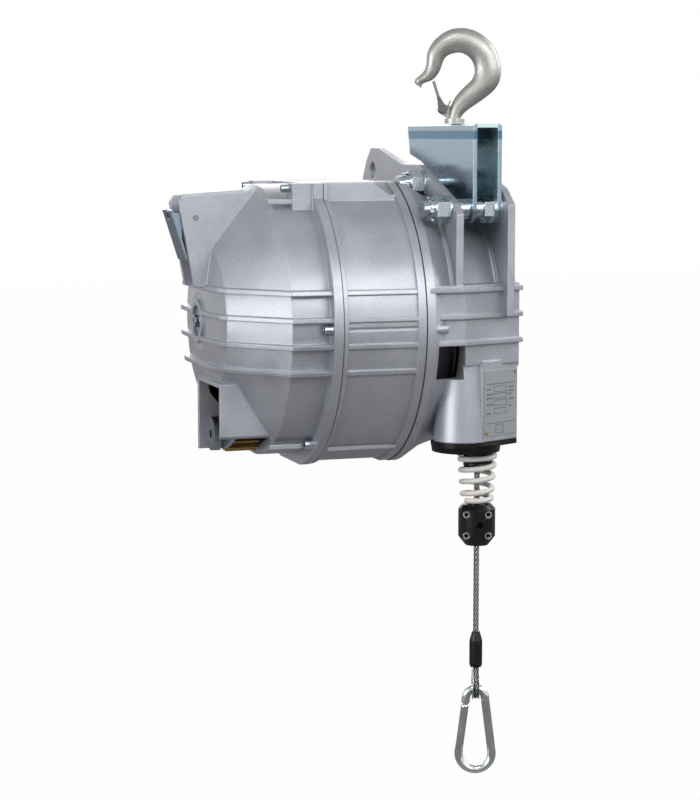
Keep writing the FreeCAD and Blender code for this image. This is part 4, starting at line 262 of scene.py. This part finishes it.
loop_out = loop_out * np.sign((loop_out[20] * (loop_route[20] - eye_centre)).sum())
outer_side = [(-3.5, 3.3), (-3.5, -2.2), (-2.6, -3.4), (2.6, -3.4), (3.5, -2.2), (3.5, 3.3)]
inner_side = [(2.75, 3.3), (2.75, -1.9), (2.2, -2.65), (-2.2, -2.65), (-2.75, -1.9), (-2.75, 3.3)]
channel = np.array(outer_side + inner_side) / 1000
thimble_steel, surface = finish_of("zinc_plated_thimble", "b7c4cd", 0.2, 1.0)
cloud = add(thimble_steel, "TexNoise", Vector=add(thimble_steel, "TexCoord", 3), Scale=220.0, Detail=3.0)
feed(surface,
     Roughness=add(thimble_steel, "MapRange", in_0=cloud, in_1=0.3, in_2=0.7, in_3=0.14, in_4=0.34),
     Normal=add(thimble_steel, "Bump", Height=cloud, Strength=0.12, Distance=0.0004))
section = channel[None, :, :1] * across + channel[None, :, 1:] * loop_out[:, None]
thimble = piece("thimble", loop_route[:, None] + section, thimble_steel, "line", ring=True)
loop_thick = 0.0053
fine_line = evenly(loop_route, 0.0012)
fine_side = np.broadcast_to(across, fine_line.shape)
loop_steel = wire_rope_finish("greased_wire_rope", "1d1512", "b5aaa2", 0.4)
rope_loop = piece("rope_loop", laid_strands(fine_line, fine_side, loop_thick, rope_lay, 6, 7), loop_steel,
                  "line", ring=True)
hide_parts("rope_eye")

# The same rope between the drum and the clamp runs down through the guide and the coil spring. Its
# upper end stays with the casing while the clamp pulls the lower end out; here it is one fixed piece, on no
# body.
run_top = -0.2688
run_route = np.array([(line_x, line_y, run_top), (line_x, line_y, -0.33), (line_x, line_y, -0.39),
                      (line_x, line_y, hang_top)])
run_line = evenly(run_route, 0.0014)
rope_above = piece("rope_above", laid_strands(run_line, sideways, rope_thick, rope_lay, 6, 8), rope_steel,
                   None, ring=True)
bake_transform(rope_above)
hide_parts("rope_run")

# The turns on the drum: the same rope wound side by side in a rising seat, in darker colours than the hanging
# rope, which the window in the casing shows as slanting strands.
drum_y, drum_z = 0.042, -0.2685
drum_turns, first_radius, turn_rise, turn_pitch = 4.02, 0.105, 0.0013, 0.0065
wound = np.linspace(0, 2 * math.pi * drum_turns, 1500)
winding_radius = first_radius + turn_rise * wound / (2 * math.pi)
wound_route = np.stack([line_x - turn_pitch * wound / (2 * math.pi),
                        drum_y - winding_radius * np.cos(wound),
                        drum_z + winding_radius * np.sin(wound)], -1)
wound_side = np.stack([np.zeros_like(wound), -np.cos(wound), np.sin(wound)], -1)
wound_steel = wire_rope_finish("wound_wire_rope", "120d0a", "9a8d84", 0.4)
windings = piece("rope_turns", laid_strands(wound_route, wound_side, rope_thick, rope_lay, 6, 5),
                 wound_steel, "drum", ring=True)
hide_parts("rope_windings")


# The casing: three pressure die castings in aluminium, cover, middle ring and rope housing, vibration
# finished and bare. The skin is fine-grained silver grey with a cool tone; edges are softly rounded
# and the joints show as thin dark lines where the flanges meet.

def dress(made, *names):
    """Gives each of these CAD nodes the material."""
    for name in names:
        mesh = nodes[name].data
        mesh.materials.clear()
        mesh.materials.append(made)


joint_planes = (-0.1535, -0.0685)
cast, surface = finish_of("tumbled_die_cast_aluminium", "abadb5", 0.4, 0.6)
place = add(cast, "TexCoord", 3)
grain = add(cast, "TexNoise", Vector=place, Scale=620.0, Detail=3.0, Roughness=0.6)
cloud = add(cast, "TexNoise", Vector=place, Scale=26.0, Detail=4.0, Roughness=0.55)
tone = add(cast, "Mix", 2, data_type="RGBA", in_6=colour("a3a5ae"), in_7=colour("b2b4bc"),
           in_0=add(cast, "MapRange", in_0=cloud, in_1=0.3, in_2=0.7, in_3=0.0, in_4=1.0))
speckled = add(cast, "Mix", 2, data_type="RGBA", blend_type="MULTIPLY", in_0=0.16, in_6=tone,
               in_7=add(cast, "Mix", 2, data_type="RGBA", in_6=colour("5c5e66"), in_7=colour("ffffff"),
                        in_0=add(cast, "MapRange", in_0=grain, in_1=0.35, in_2=0.6, in_3=0.0, in_4=1.0)))
long = add(cast, "SeparateXYZ", Vector=place)
gaps = [add(cast, "Math", operation="ABSOLUTE",
            in_0=add(cast, "Math", operation="SUBTRACT", in_0=long, in_1=plane)) for plane in joint_planes]
near = add(cast, "Math", operation="MINIMUM", in_0=gaps[0], in_1=gaps[1])
seam = add(cast, "MapRange", in_0=near, in_1=0.0003, in_2=0.0007, in_3=1.0, in_4=0.0)
lined = add(cast, "Mix", 2, data_type="RGBA", in_0=seam, in_6=speckled, in_7=colour("45464b"))
soft_edge = add(cast, "Bevel", samples=6, Radius=0.0016)
feed(surface, Base_Color=lined,
     Roughness=add(cast, "MapRange", in_0=cloud, in_1=0.25, in_2=0.75, in_3=0.36, in_4=0.5),
     Normal=add(cast, "Bump", Height=grain, Strength=0.22, Distance=0.0003, Normal=soft_edge))
dress(cast, "spring_cover", "spring_ring", "drum_housing")


fillet = 0.004


def corner_fillet(name, wall, surface_radius, from_angle, to_angle):
    """The cast fillet where a lug stands on the housing's cone, a quarter hollow.

    With its radius R, the section is (wall - R + R sin t, surface + R - R cos t) for t from 0 to 90
    degrees, in a plane through the drum's axis, and is swept round that axis.
    """
    hollow = np.linspace(0, math.pi / 2, 9)
    long = np.append(wall - fillet + fillet * np.sin(hollow), wall + 0.001)
    reach = np.append(surface_radius + fillet - fillet * np.cos(hollow), surface_radius - 0.003)
    sweep = np.radians(np.linspace(from_angle, to_angle, 60))[:, None]
    grid = np.stack([long + 0 * sweep, drum_y - reach * np.cos(sweep), drum_z + reach * np.sin(sweep)], -1)
    piece(name, grid, cast, "housing", ring=True, sharp=50)


corner_fillet("left_lug_fillet", -0.0355, 0.1364, 16.5, 60)
corner_fillet("right_lug_fillet", 0.0185, 0.1200, 16.5, 74)

# The rating plate: a thin anodised aluminium plate on the label face, held by two brass drive rivets
# and printed with plain rules, bars and empty boxes only.
plate_low, ink_lift = -0.3795, 0.00018
plate_angle = math.radians(27.0)
plate_start = np.array([-0.0041, -0.0972, 0])
plate_along = np.array([math.cos(plate_angle), math.sin(plate_angle), 0])
plate_out = np.array([math.sin(plate_angle), -math.cos(plate_angle), 0])
anodised, surface = finish_of("anodised_aluminium_plate", "9fa3a6", 0.42, 0.5)
place = add(anodised, "TexCoord", 3)
streak = add(anodised, "TexNoise", Detail=3.0, Scale=1.0,
             Vector=add(anodised, "Mapping", Vector=place, Scale=(40, 40, 1800)))
feed(surface, Base_Color=add(anodised, "Mix", 2, data_type="RGBA", in_0=streak, in_6=colour("969a9d"),
                             in_7=colour("a9adb0")),
     Roughness=add(anodised, "MapRange", in_0=streak, in_1=0.3, in_2=0.7, in_3=0.32, in_4=0.48))
dress(anodised, "rating_plate")


def printed(bars):
    """Flat bars on the plate, each from one place along it and height to another, in millimetres."""
    bars = np.array(bars, float) / 1000
    s = np.stack([bars[:, 0], bars[:, 2]], -1)
    z = np.stack([bars[:, 1], bars[:, 3]], -1)
    flat = plate_start + plate_out * ink_lift + s[:, None, :, None] * plate_along
    return flat + (plate_low + z[:, :, None, None]) * upward


ink, surface = finish_of("screen_printed_ink", "2c3b46", 0.5, 0.0)
worn = add(ink, "TexNoise", Vector=add(ink, "TexCoord", 3), Scale=900.0, Detail=2.0)
feed(surface, Base_Color=add(ink, "Mix", 2, data_type="RGBA", in_0=worn, in_6=colour("25323c"),
                             in_7=colour("43525d")))
rules = [(2, z, 46, z + 0.5) for z in (51.5, 12.5)]
name_bars = [(2.5, z, 9.5 + 2.5 * (z % 2), z + 0.9) for z in (46, 41, 37, 31, 22)]
unit_bars = [(36, z, 41 + 3 * (z % 2), z + 0.9) for z in (47, 43, 40, 35, 28)]
boxes = [bar for z in (43.5, 36.5, 29.5, 21.5) for bar in
         ((14, z, 33, z + 0.4), (14, z + 5.4, 33, z + 5.8), (14, z + 0.4, 14.4, z + 5.4),
          (32.6, z + 0.4, 33, z + 5.4))]
foot_box = [(17, 2.0, 28, 2.4), (17, 10.6, 28, 11.0), (17, 2.4, 17.4, 10.6), (27.6, 2.4, 28, 10.6)]
piece("plate_print", printed(rules + name_bars + unit_bars + boxes + foot_box), ink, "housing")
brass, surface = finish_of("turned_brass", "b28a4a", 0.28, 1.0)
place = add(brass, "TexNoise", Vector=add(brass, "TexCoord", 3), Scale=500.0)
feed(surface, Roughness=add(brass, "MapRange", in_0=place, in_1=0.3, in_2=0.7, in_3=0.2, in_4=0.4))
dress(brass, "plate_rivets")

# The suspension bracket: 4 mm steel strip bent to a U over the hook's nut, zinc plated with a clear
# blue passivation, so it mirrors softly. A narrow dark blue band runs round its outside near the bend.
# Inside the U, the film's green tint carries painted light and is lighter towards the top. The lock lever
# and the adjuster's plate are stamped from the same sheet.
plated, surface = finish_of("blue_zinc_plated_sheet", "93a4b2", 0.26, 1.0)
place = add(plated, "TexCoord", 3)
rolled = add(plated, "TexNoise", Detail=3.0, Scale=1.0,
             Vector=add(plated, "Mapping", Vector=place, Scale=(55, 55, 55)))
speck = add(plated, "TexNoise", Vector=place, Scale=700.0, Detail=2.0)
sheet_tone = add(plated, "Mix", 2, data_type="RGBA", in_0=rolled, in_6=colour("8c9fae"),
                 in_7=colour("9aabb8"))
width = add(plated, "Math", operation="ABSOLUTE", in_0=add(plated, "SeparateXYZ", 0, Vector=place))
inner = add(plated, "MapRange", in_0=width, in_1=0.0106, in_2=0.0112, in_3=1.0, in_4=0.0)
tall = add(plated, "SeparateXYZ", 2, Vector=place)
# Inside the U: the film's green tint with painted light, lightened against the shade in the U and lighter
# towards the top.
teal_and_painted_light = add(plated, "Mix", 2, data_type="RGBA", in_6=colour("cdebe6"), in_7=colour("8cc7cc"),
           in_0=add(plated, "MapRange", in_0=tall, in_1=-0.085, in_2=-0.125, in_3=0.0, in_4=1.0))
tint_with_painted_inner_light = add(plated, "Mix", 2, data_type="RGBA", in_0=inner, in_6=sheet_tone, in_7=teal_and_painted_light)
below = add(plated, "Math", operation="ADD", in_0=tall, in_1=0.0825)
band = add(plated, "MapRange", interpolation_type="SMOOTHSTEP", in_1=0.003, in_2=0.0052, in_3=0.9, in_4=0.0,
           in_0=add(plated, "Math", operation="ABSOLUTE", in_0=below))
band = add(plated, "Math", operation="MULTIPLY", in_0=band,
           in_1=add(plated, "Math", operation="SUBTRACT", in_0=1.0, in_1=inner))
feed(surface,
     Base_Color=add(plated, "Mix", 2, data_type="RGBA", in_0=band, in_6=tint_with_painted_inner_light, in_7=colour("3d6c85")),
     Metallic=add(plated, "MapRange", in_0=inner, in_1=0.0, in_2=1.0, in_3=1.0, in_4=0.1),
     Roughness=add(plated, "MapRange", in_0=rolled, in_1=0.0, in_2=1.0, in_3=0.18, in_4=0.34),
     Normal=add(plated, "Bump", Height=speck, Strength=0.08, Distance=0.0002,
                Normal=add(plated, "Bevel", samples=4, Radius=0.0009)))
dress(plated, "suspension_bracket", "lock_lever", "adjuster_plate")

# Bolts, castle nuts, split pins, washers and screws: turned or headed steel, bright zinc plated, with
# small tool marks that make their faces glitter.
bright, surface = finish_of("bright_zinc_plated_fastener", "b4bfc6", 0.2, 1.0)
place = add(bright, "TexCoord", 3)
marks = add(bright, "TexNoise", Vector=place, Scale=380.0, Detail=3.0)
feed(surface, Base_Color=add(bright, "Mix", 2, data_type="RGBA", in_0=marks, in_6=colour("9aa8b1"),
                             in_7=colour("c9d1d6")),
     Roughness=add(bright, "MapRange", in_0=marks, in_1=0.3, in_2=0.7, in_3=0.12, in_4=0.32),
     Normal=add(bright, "Bump", Height=marks, Strength=0.2, Distance=0.0003,
                Normal=add(bright, "Bevel", samples=4, Radius=0.0007)))
dress(bright, "suspension_bolts", "suspension_nuts", "split_pins", "bracket_spacers", "case_screws",
      "clamp_screws", "end_washer", "end_screw", "hook_nut", "hook_washer")

# The hook: drop forged steel, shot blasted and clear coated, a warm satin grey with a slightly
# dimpled skin. Its latch is a bent wire arm on a folded cheek plate, darker and bare.
forged, surface = finish_of("shot_blasted_forging", "a3a3a0", 0.4, 0.8)
place = add(forged, "TexCoord", 3)
dimple = add(forged, "TexNoise", Vector=place, Scale=420.0, Detail=4.0, Roughness=0.65)
scale = add(forged, "TexNoise", Vector=place, Scale=60.0, Detail=3.0)
feed(surface, Base_Color=add(forged, "Mix", 2, data_type="RGBA", in_0=scale, in_6=colour("959592"),
                             in_7=colour("b4b3ae")),
     Roughness=add(forged, "MapRange", in_0=dimple, in_1=0.3, in_2=0.7, in_3=0.34, in_4=0.5),
     Normal=add(forged, "Bump", Height=dimple, Strength=0.35, Distance=0.0005))
dress(forged, "lifting_hook")
latch_steel, surface = finish_of("bare_spring_steel", "6c6f70", 0.3, 1.0)
drawn = add(latch_steel, "TexNoise", Vector=add(latch_steel, "TexCoord", 3), Scale=300.0)
feed(surface, Roughness=add(latch_steel, "MapRange", in_0=drawn, in_1=0.3, in_2=0.7, in_3=0.22, in_4=0.42))
dress(latch_steel, "hook_latch", "latch_pin")

# A small torsion spring of 1.1 mm bare wire sits on the latch pin. One leg leans on the latch and the
# other on the hook's neck. Its coil is a circle of constant radius that advances along the pin.
latch_wire, latch_coil, coil_width = 0.00055, 0.0044, 0.0012
pin = np.array([0, 0, -0.0715]) - 0.0125 * across + 0.015 * upward
wind = np.linspace(0, 4 * math.pi, 70)
wound_wire = pin + (0.0051 + coil_width * wind / (4 * math.pi))[:, None] * facing
wound_wire = wound_wire + latch_coil * (np.cos(wind)[:, None] * across + np.sin(wind)[:, None] * upward)
legs = np.array([[-0.0030, 0.0125, 0.0051], [0.0080, 0.0085, 0.0063]])
legs = pin + legs[:, :1] * across + legs[:, 1:2] * upward + legs[:, 2:] * facing
spring_line = evenly(np.concatenate([legs[:1], wound_wire, legs[1:]]), 0.0006)
spring_ahead = unit(np.gradient(spring_line, axis=0))
spring_side = unit(np.cross(spring_ahead, facing))
spring_back = np.cross(spring_ahead, spring_side)
ringed = np.linspace(0, 2 * math.pi, 8, endpoint=False)[:, None]
latch_ring = np.cos(ringed) * spring_side[:, None] + np.sin(ringed) * spring_back[:, None]
piece("latch_spring", spring_line[:, None] + latch_wire * latch_ring, latch_steel, "hook", ring=True)

# The clamp, the rope guide's base and its nozzle: injection moulded black nylon, spark eroded to a
# satin grain; the sleeve on the ferrule is shrunk rubber of the same black.
moulded, surface = finish_of("moulded_black_nylon", "0b0b0e", 0.3, 0.0)
surface.inputs["Specular IOR Level"].default_value = 0.25
grit = add(moulded, "TexNoise", Vector=add(moulded, "TexCoord", 3), Scale=520.0, Detail=3.0)
feed(surface, Base_Color=add(moulded, "Mix", 2, data_type="RGBA", in_0=grit, in_6=colour("08080a"),
                             in_7=colour("101014")),
     Roughness=add(moulded, "MapRange", in_0=grit, in_1=0.3, in_2=0.7, in_3=0.22, in_4=0.42),
     Normal=add(moulded, "Bump", Height=grit, Strength=0.12, Distance=0.0003,
                Normal=add(moulded, "Bevel", samples=4, Radius=0.0008)))
dress(moulded, "rope_guide_base", "rope_nozzle", "clamp_front", "clamp_back")
rubber, surface = finish_of("shrunk_black_rubber", "09090b", 0.38, 0.0)
surface.inputs["Specular IOR Level"].default_value = 0.3
ripple = add(rubber, "TexNoise", Vector=add(rubber, "TexCoord", 3), Scale=160.0, Detail=2.0)
feed(surface, Roughness=add(rubber, "MapRange", in_0=ripple, in_1=0.3, in_2=0.7, in_3=0.3, in_4=0.48),
     Normal=add(rubber, "Bump", Height=ripple, Strength=0.25, Distance=0.0006))
dress(rubber, "rope_sleeve")


def turned_piece(name, radii, heights, made, body):
    """A profile of radii and heights turned about the rope's axis, closed through its inner wall."""
    angle = np.linspace(0, 2 * math.pi, 64, endpoint=False)[:, None]
    grid = np.stack([line_x + radii * np.cos(angle), line_y + radii * np.sin(angle), heights + 0 * angle], -1)
    return piece(name, grid, made, body, ring=True, loop=True)


# The nozzle inside the spring is moulded in black nylon with the guide's base. It has fine grip ridges,
# 3.4 mm apart, and draws in towards its mouth.
nozzle_top, nozzle_low, nozzle_wall = -0.3969, -0.4175, 0.0122
down = np.linspace(0, 1, 72)
ridged = 0.0149 - 0.0014 * down + 0.00028 * np.sin(12 * math.pi * down)
heights = np.append(nozzle_top + (nozzle_low - nozzle_top) * down, [nozzle_low, nozzle_top])
turned_piece("nozzle_ridges", np.append(ridged, [nozzle_wall, nozzle_wall]), heights, moulded, "housing")

# The moulded bore in the middle of the clamp's face, with a small rolled rim, and the floors of the
# sockets in its four screws. Both are deep and take no light, so their shade is painted on thin flat
# near-black discs.
clamp_radius, bore_height, socket_radius = 0.01865, -0.4712, 0.0019
spread = np.linspace(0, 2 * math.pi, 32, endpoint=False)[None]


def on_clamp(radii, lift):
    """Rings of these radii about the bore, laid on the clamp's round face and lifted off it."""
    side = turn + math.radians(7) + radii[:, None] * np.cos(spread) / clamp_radius
    out = clamp_radius + lift[:, None] + 0 * side
    return np.stack([line_x + out * np.sin(side), line_y - out * np.cos(side),
                     bore_height + radii[:, None] * np.sin(spread)], -1)


rim_radii = np.array([3.7, 3.8, 4.1, 4.5, 4.8]) / 1000
rim_lifts = np.array([-0.2, 0.15, 0.3, 0.15, -0.3]) / 1000
piece("bore_rim", on_clamp(rim_radii, rim_lifts), moulded, "line", ring=True, shut=False)
# Painted shade: a flat near-black material for the hollows that take no light.
shade, surface = finish_of("unlit_bore", "020203", 0.8, 0.0)
surface.inputs["Specular IOR Level"].default_value = 0.05
bore_shade_radii = np.array([0.01, 2.0, 3.8]) / 1000
bore_shade_lifts = np.array([0.1, 0.1, 0.1]) / 1000
piece("bore_painted_shade", on_clamp(bore_shade_radii, bore_shade_lifts), shade, "line", ring=True, shut=False)
sockets = np.array([(a, b) for a in (-0.011, 0.011) for b in (-0.01075, 0.01075)])
disc_radii = np.array([0.00002, socket_radius])[:, None]
disc = np.stack([disc_radii * np.cos(spread), disc_radii * np.sin(spread)], -1)
socket_shade_points = (np.array([line_x, line_y, -0.472]) + 0.01185 * facing
          + (sockets[:, None, None, :1] + disc[None, :, :, :1]) * across
          + (sockets[:, None, None, 1:] + disc[None, :, :, 1:]) * upward)
piece("painted_socket_shade", socket_shade_points, shade, "line", ring=True, shut=False)

# The coil spring above the clamp takes the knock at the end of the pull: 5.6 mm spring wire, wound
# wider at the top, its end turns closed, and powder coated in an off-white. The wire's centre turns
# round the rope at a radius and a height that both follow the turn count.
coil_wire = 0.0028
winding = np.linspace(-0.45, 4.5, 330)
rise = np.interp(winding, [-0.45, -0.1, 0.7, 1.7, 2.7, 3.7, 4.5],
                 [-447.6, -446.6, -439, -426, -414.4, -403.6, -400.1])
rise = np.convolve(np.pad(rise, 20, mode="edge"), np.ones(41) / 41, mode="valid") / 1000
coil_radius = np.interp(winding, [-0.45, 4.5], [0.0140, 0.0181])
angle = 2 * math.pi * winding
coil_line = np.stack([line_x + coil_radius * np.cos(angle), line_y + coil_radius * np.sin(angle), rise], -1)
coil_ahead = unit(np.gradient(coil_line, axis=0))
coil_out = unit(np.stack([np.cos(angle), np.sin(angle), np.zeros_like(angle)], -1))
coil_up = np.cross(coil_ahead, coil_out)
around = np.linspace(0, 2 * math.pi, 14, endpoint=False)[:, None]
coil_ring = np.cos(around) * coil_out[:, None] + np.sin(around) * coil_up[:, None]
coated, surface = finish_of("off_white_powder_coat", "d2cecb", 0.38, 0.0)
peel = add(coated, "TexNoise", Vector=add(coated, "TexCoord", 3), Scale=480.0, Detail=2.0)
feed(surface, Base_Color=add(coated, "Mix", 2, data_type="RGBA", in_0=peel, in_6=colour("c9c5c2"),
                             in_7=colour("dad7d4")),
     Normal=add(coated, "Bump", Height=peel, Strength=0.2, Distance=0.0003))
coil = piece("coil_spring", coil_line[:, None] + coil_wire * coil_ring, coated, "line", ring=True,
             sharp=60)
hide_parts("buffer_spring")

# The carabiner: 8.5 mm steel bar bent to a pear, with a sprung gate in its left side, polished and
# zinc plated, so it mirrors the white room with dark edges.
polished, surface = finish_of("polished_zinc_plate", "d3d9dd", 0.1, 1.0)
place = add(polished, "TexCoord", 3)
swirl = add(polished, "TexNoise", Vector=place, Scale=90.0, Detail=3.0)
feed(surface, Base_Color=add(polished, "Mix", 2, data_type="RGBA", in_0=swirl, in_6=colour("c6ced4"),
                             in_7=colour("e2e6e8")),
     Roughness=add(polished, "MapRange", in_0=swirl, in_1=0.3, in_2=0.7, in_3=0.06, in_4=0.2))
dress(polished, "carabiner", "carabiner_gate")

# Inside: turned shafts and arbor in ground steel, the cast drum, the spring case in pressed sheet,
# blued power springs, and bronze gears and bushes. They show only through the window and the box.
ground, surface = finish_of("ground_steel", "8d9093", 0.28, 1.0)
lines = add(ground, "TexNoise", Detail=2.0, Scale=1.0,
            Vector=add(ground, "Mapping", Vector=add(ground, "TexCoord", 3), Scale=(1500, 60, 60)))
feed(surface, Roughness=add(ground, "MapRange", in_0=lines, in_1=0.3, in_2=0.7, in_3=0.2, in_4=0.4))
dress(ground, "main_shaft", "drum_key", "spring_arbor", "adjusting_shaft", "lock_pin")
drum_cast, surface = finish_of("turned_cast_aluminium", "8f9198", 0.42, 0.8)
turned = add(drum_cast, "TexNoise", Detail=2.0, Scale=1.0,
             Vector=add(drum_cast, "Mapping", Vector=add(drum_cast, "TexCoord", 3), Scale=(900, 40, 40)))
feed(surface, Base_Color=add(drum_cast, "Mix", 2, data_type="RGBA", in_0=turned, in_6=colour("7b7d84"),
                             in_7=colour("a2a4aa")),
     Normal=add(drum_cast, "Bump", Height=turned, Strength=0.2, Distance=0.0003))
dress(drum_cast, "rope_drum")
sheet_steel, surface = finish_of("oiled_steel_sheet", "6b6e72", 0.36, 1.0)
oil = add(sheet_steel, "TexNoise", Vector=add(sheet_steel, "TexCoord", 3), Scale=30.0, Detail=3.0)
feed(surface, Roughness=add(sheet_steel, "MapRange", in_0=oil, in_1=0.3, in_2=0.7, in_3=0.26, in_4=0.46))
dress(sheet_steel, "spring_case", "spring_case_lid")
blued, surface = finish_of("blued_spring_strip", "3d4654", 0.3, 1.0)
strip = add(blued, "TexNoise", Vector=add(blued, "TexCoord", 3), Scale=80.0, Detail=2.0)
feed(surface, Base_Color=add(blued, "Mix", 2, data_type="RGBA", in_0=strip, in_6=colour("343c49"),
                             in_7=colour("4d5666")))
dress(blued, "power_springs")
bronze, surface = finish_of("cut_bronze", "94794f", 0.34, 1.0)
cut = add(bronze, "TexNoise", Detail=2.0, Scale=1.0,
          Vector=add(bronze, "Mapping", Vector=add(bronze, "TexCoord", 3), Scale=(60, 500, 500)))
feed(surface, Base_Color=add(bronze, "Mix", 2, data_type="RGBA", in_0=cut, in_6=colour("7d6541"),
                             in_7=colour("a68a60")),
     Roughness=add(bronze, "MapRange", in_0=cut, in_1=0.3, in_2=0.7, in_3=0.26, in_4=0.44))
dress(bronze, "adjusting_pinion", "ring_gear", "left_bush", "right_bush")

# The studio: a white room. The lens and mirrored rays see plain white, the soft light is weaker, and
# the floor keeps the shadow, below the carabiner even when the rope is pulled out all the way.
world = bpy.data.worlds.new("studio")
bpy.context.scene.world = world
world.use_nodes = True
back = world.node_tree.nodes["Background"]
back.inputs["Color"].default_value = (1, 1, 1, 1)
ray = add(world, "LightPath").node.outputs
height = add(world, "SeparateXYZ", 2, Vector=add(world, "TexCoord", 0))
steep = add(world, "Math", operation="ABSOLUTE", in_0=height)
walls = add(world, "MapRange", interpolation_type="SMOOTHSTEP", in_0=steep, in_1=0.08, in_2=0.55,
            in_3=1.0, in_4=0.6)
mirrored = add(world, "Math", operation="MAXIMUM", in_0=ray["Is Glossy Ray"], in_1=ray["Is Transmission Ray"])
soft = add(world, "Mix", 0, data_type="FLOAT", in_0=mirrored, in_2=0.35, in_3=walls)
strength = add(world, "Mix", 0, data_type="FLOAT", in_0=ray["Is Camera Ray"], in_2=soft, in_3=1.0)
world.node_tree.links.new(strength, back.inputs["Strength"])

floor_z, floor_glow, glow_share = -2.9, 1.1, 0.88
floor_mesh = bpy.data.meshes.new("floor")
floor_corners = [(-30, -30, floor_z), (30, -30, floor_z), (30, 40, floor_z), (-30, 40, floor_z)]
floor_mesh.from_pydata(floor_corners, [], [(0, 1, 2, 3)])
floor_paint, surface = finish_of("white_floor_paint", "9c9c9c", 0.7, 0.0)
rays = add(floor_paint, "LightPath").node
shown = add(floor_paint, "Math", operation="MULTIPLY_ADD", in_0=rays.outputs["Is Glossy Ray"], in_1=0.1,
            in_2=rays.outputs["Is Camera Ray"])
share = add(floor_paint, "Math", operation="MULTIPLY", in_0=shown, in_1=glow_share)
glow = add(floor_paint, "Emission", Color=(1, 1, 1, 1), Strength=floor_glow)
mixed = add(floor_paint, "MixShader", in_0=share, in_1=surface.outputs[0], in_2=glow)
floor_paint.node_tree.links.new(mixed, floor_paint.node_tree.nodes["Material Output"].inputs["Surface"])
floor_mesh.materials.append(floor_paint)
floor = bpy.data.objects.new("floor", floor_mesh)
bpy.context.scene.collection.objects.link(floor)


def softbox(name, power, width, height, place, target):
    """A flat soft lamp, width by height, at a place and turned so that it faces the target."""
    lamp = bpy.data.lights.new(name, "AREA")
    lamp.shape = "RECTANGLE"
    lamp.energy = power
    lamp.size = width
    lamp.size_y = height
    holder = bpy.data.objects.new(name, lamp)
    way = np.array(place, float) - np.array(target, float)
    holder.location = place
    tilt = math.acos(way[2] / np.linalg.norm(way))
    holder.rotation_euler = (tilt, 0, math.atan2(way[1], way[0]) + math.pi / 2)
    bpy.context.scene.collection.objects.link(holder)


softbox("key_lamp", 34, 2.2, 0.8, (0.8, -2.35, 0.85), (-0.1, 0, -0.25))
softbox("fill_lamp", 15, 0.9, 0.7, (-1.0, -1.8, 1.5), (0, 0, -0.15))
softbox("side_lamp", 34, 1.7, 1.0, (-2.5, -0.9, -0.05), (-0.1, 0, -0.25))
softbox("right_lamp", 28, 1.3, 1.3, (2.2, -0.2, 0.95), (-0.1, 0, -0.25))
softbox("rear_lamp", 24, 1.6, 1.2, (0.3, 2.6, 0.6), (-0.1, 0, -0.25))
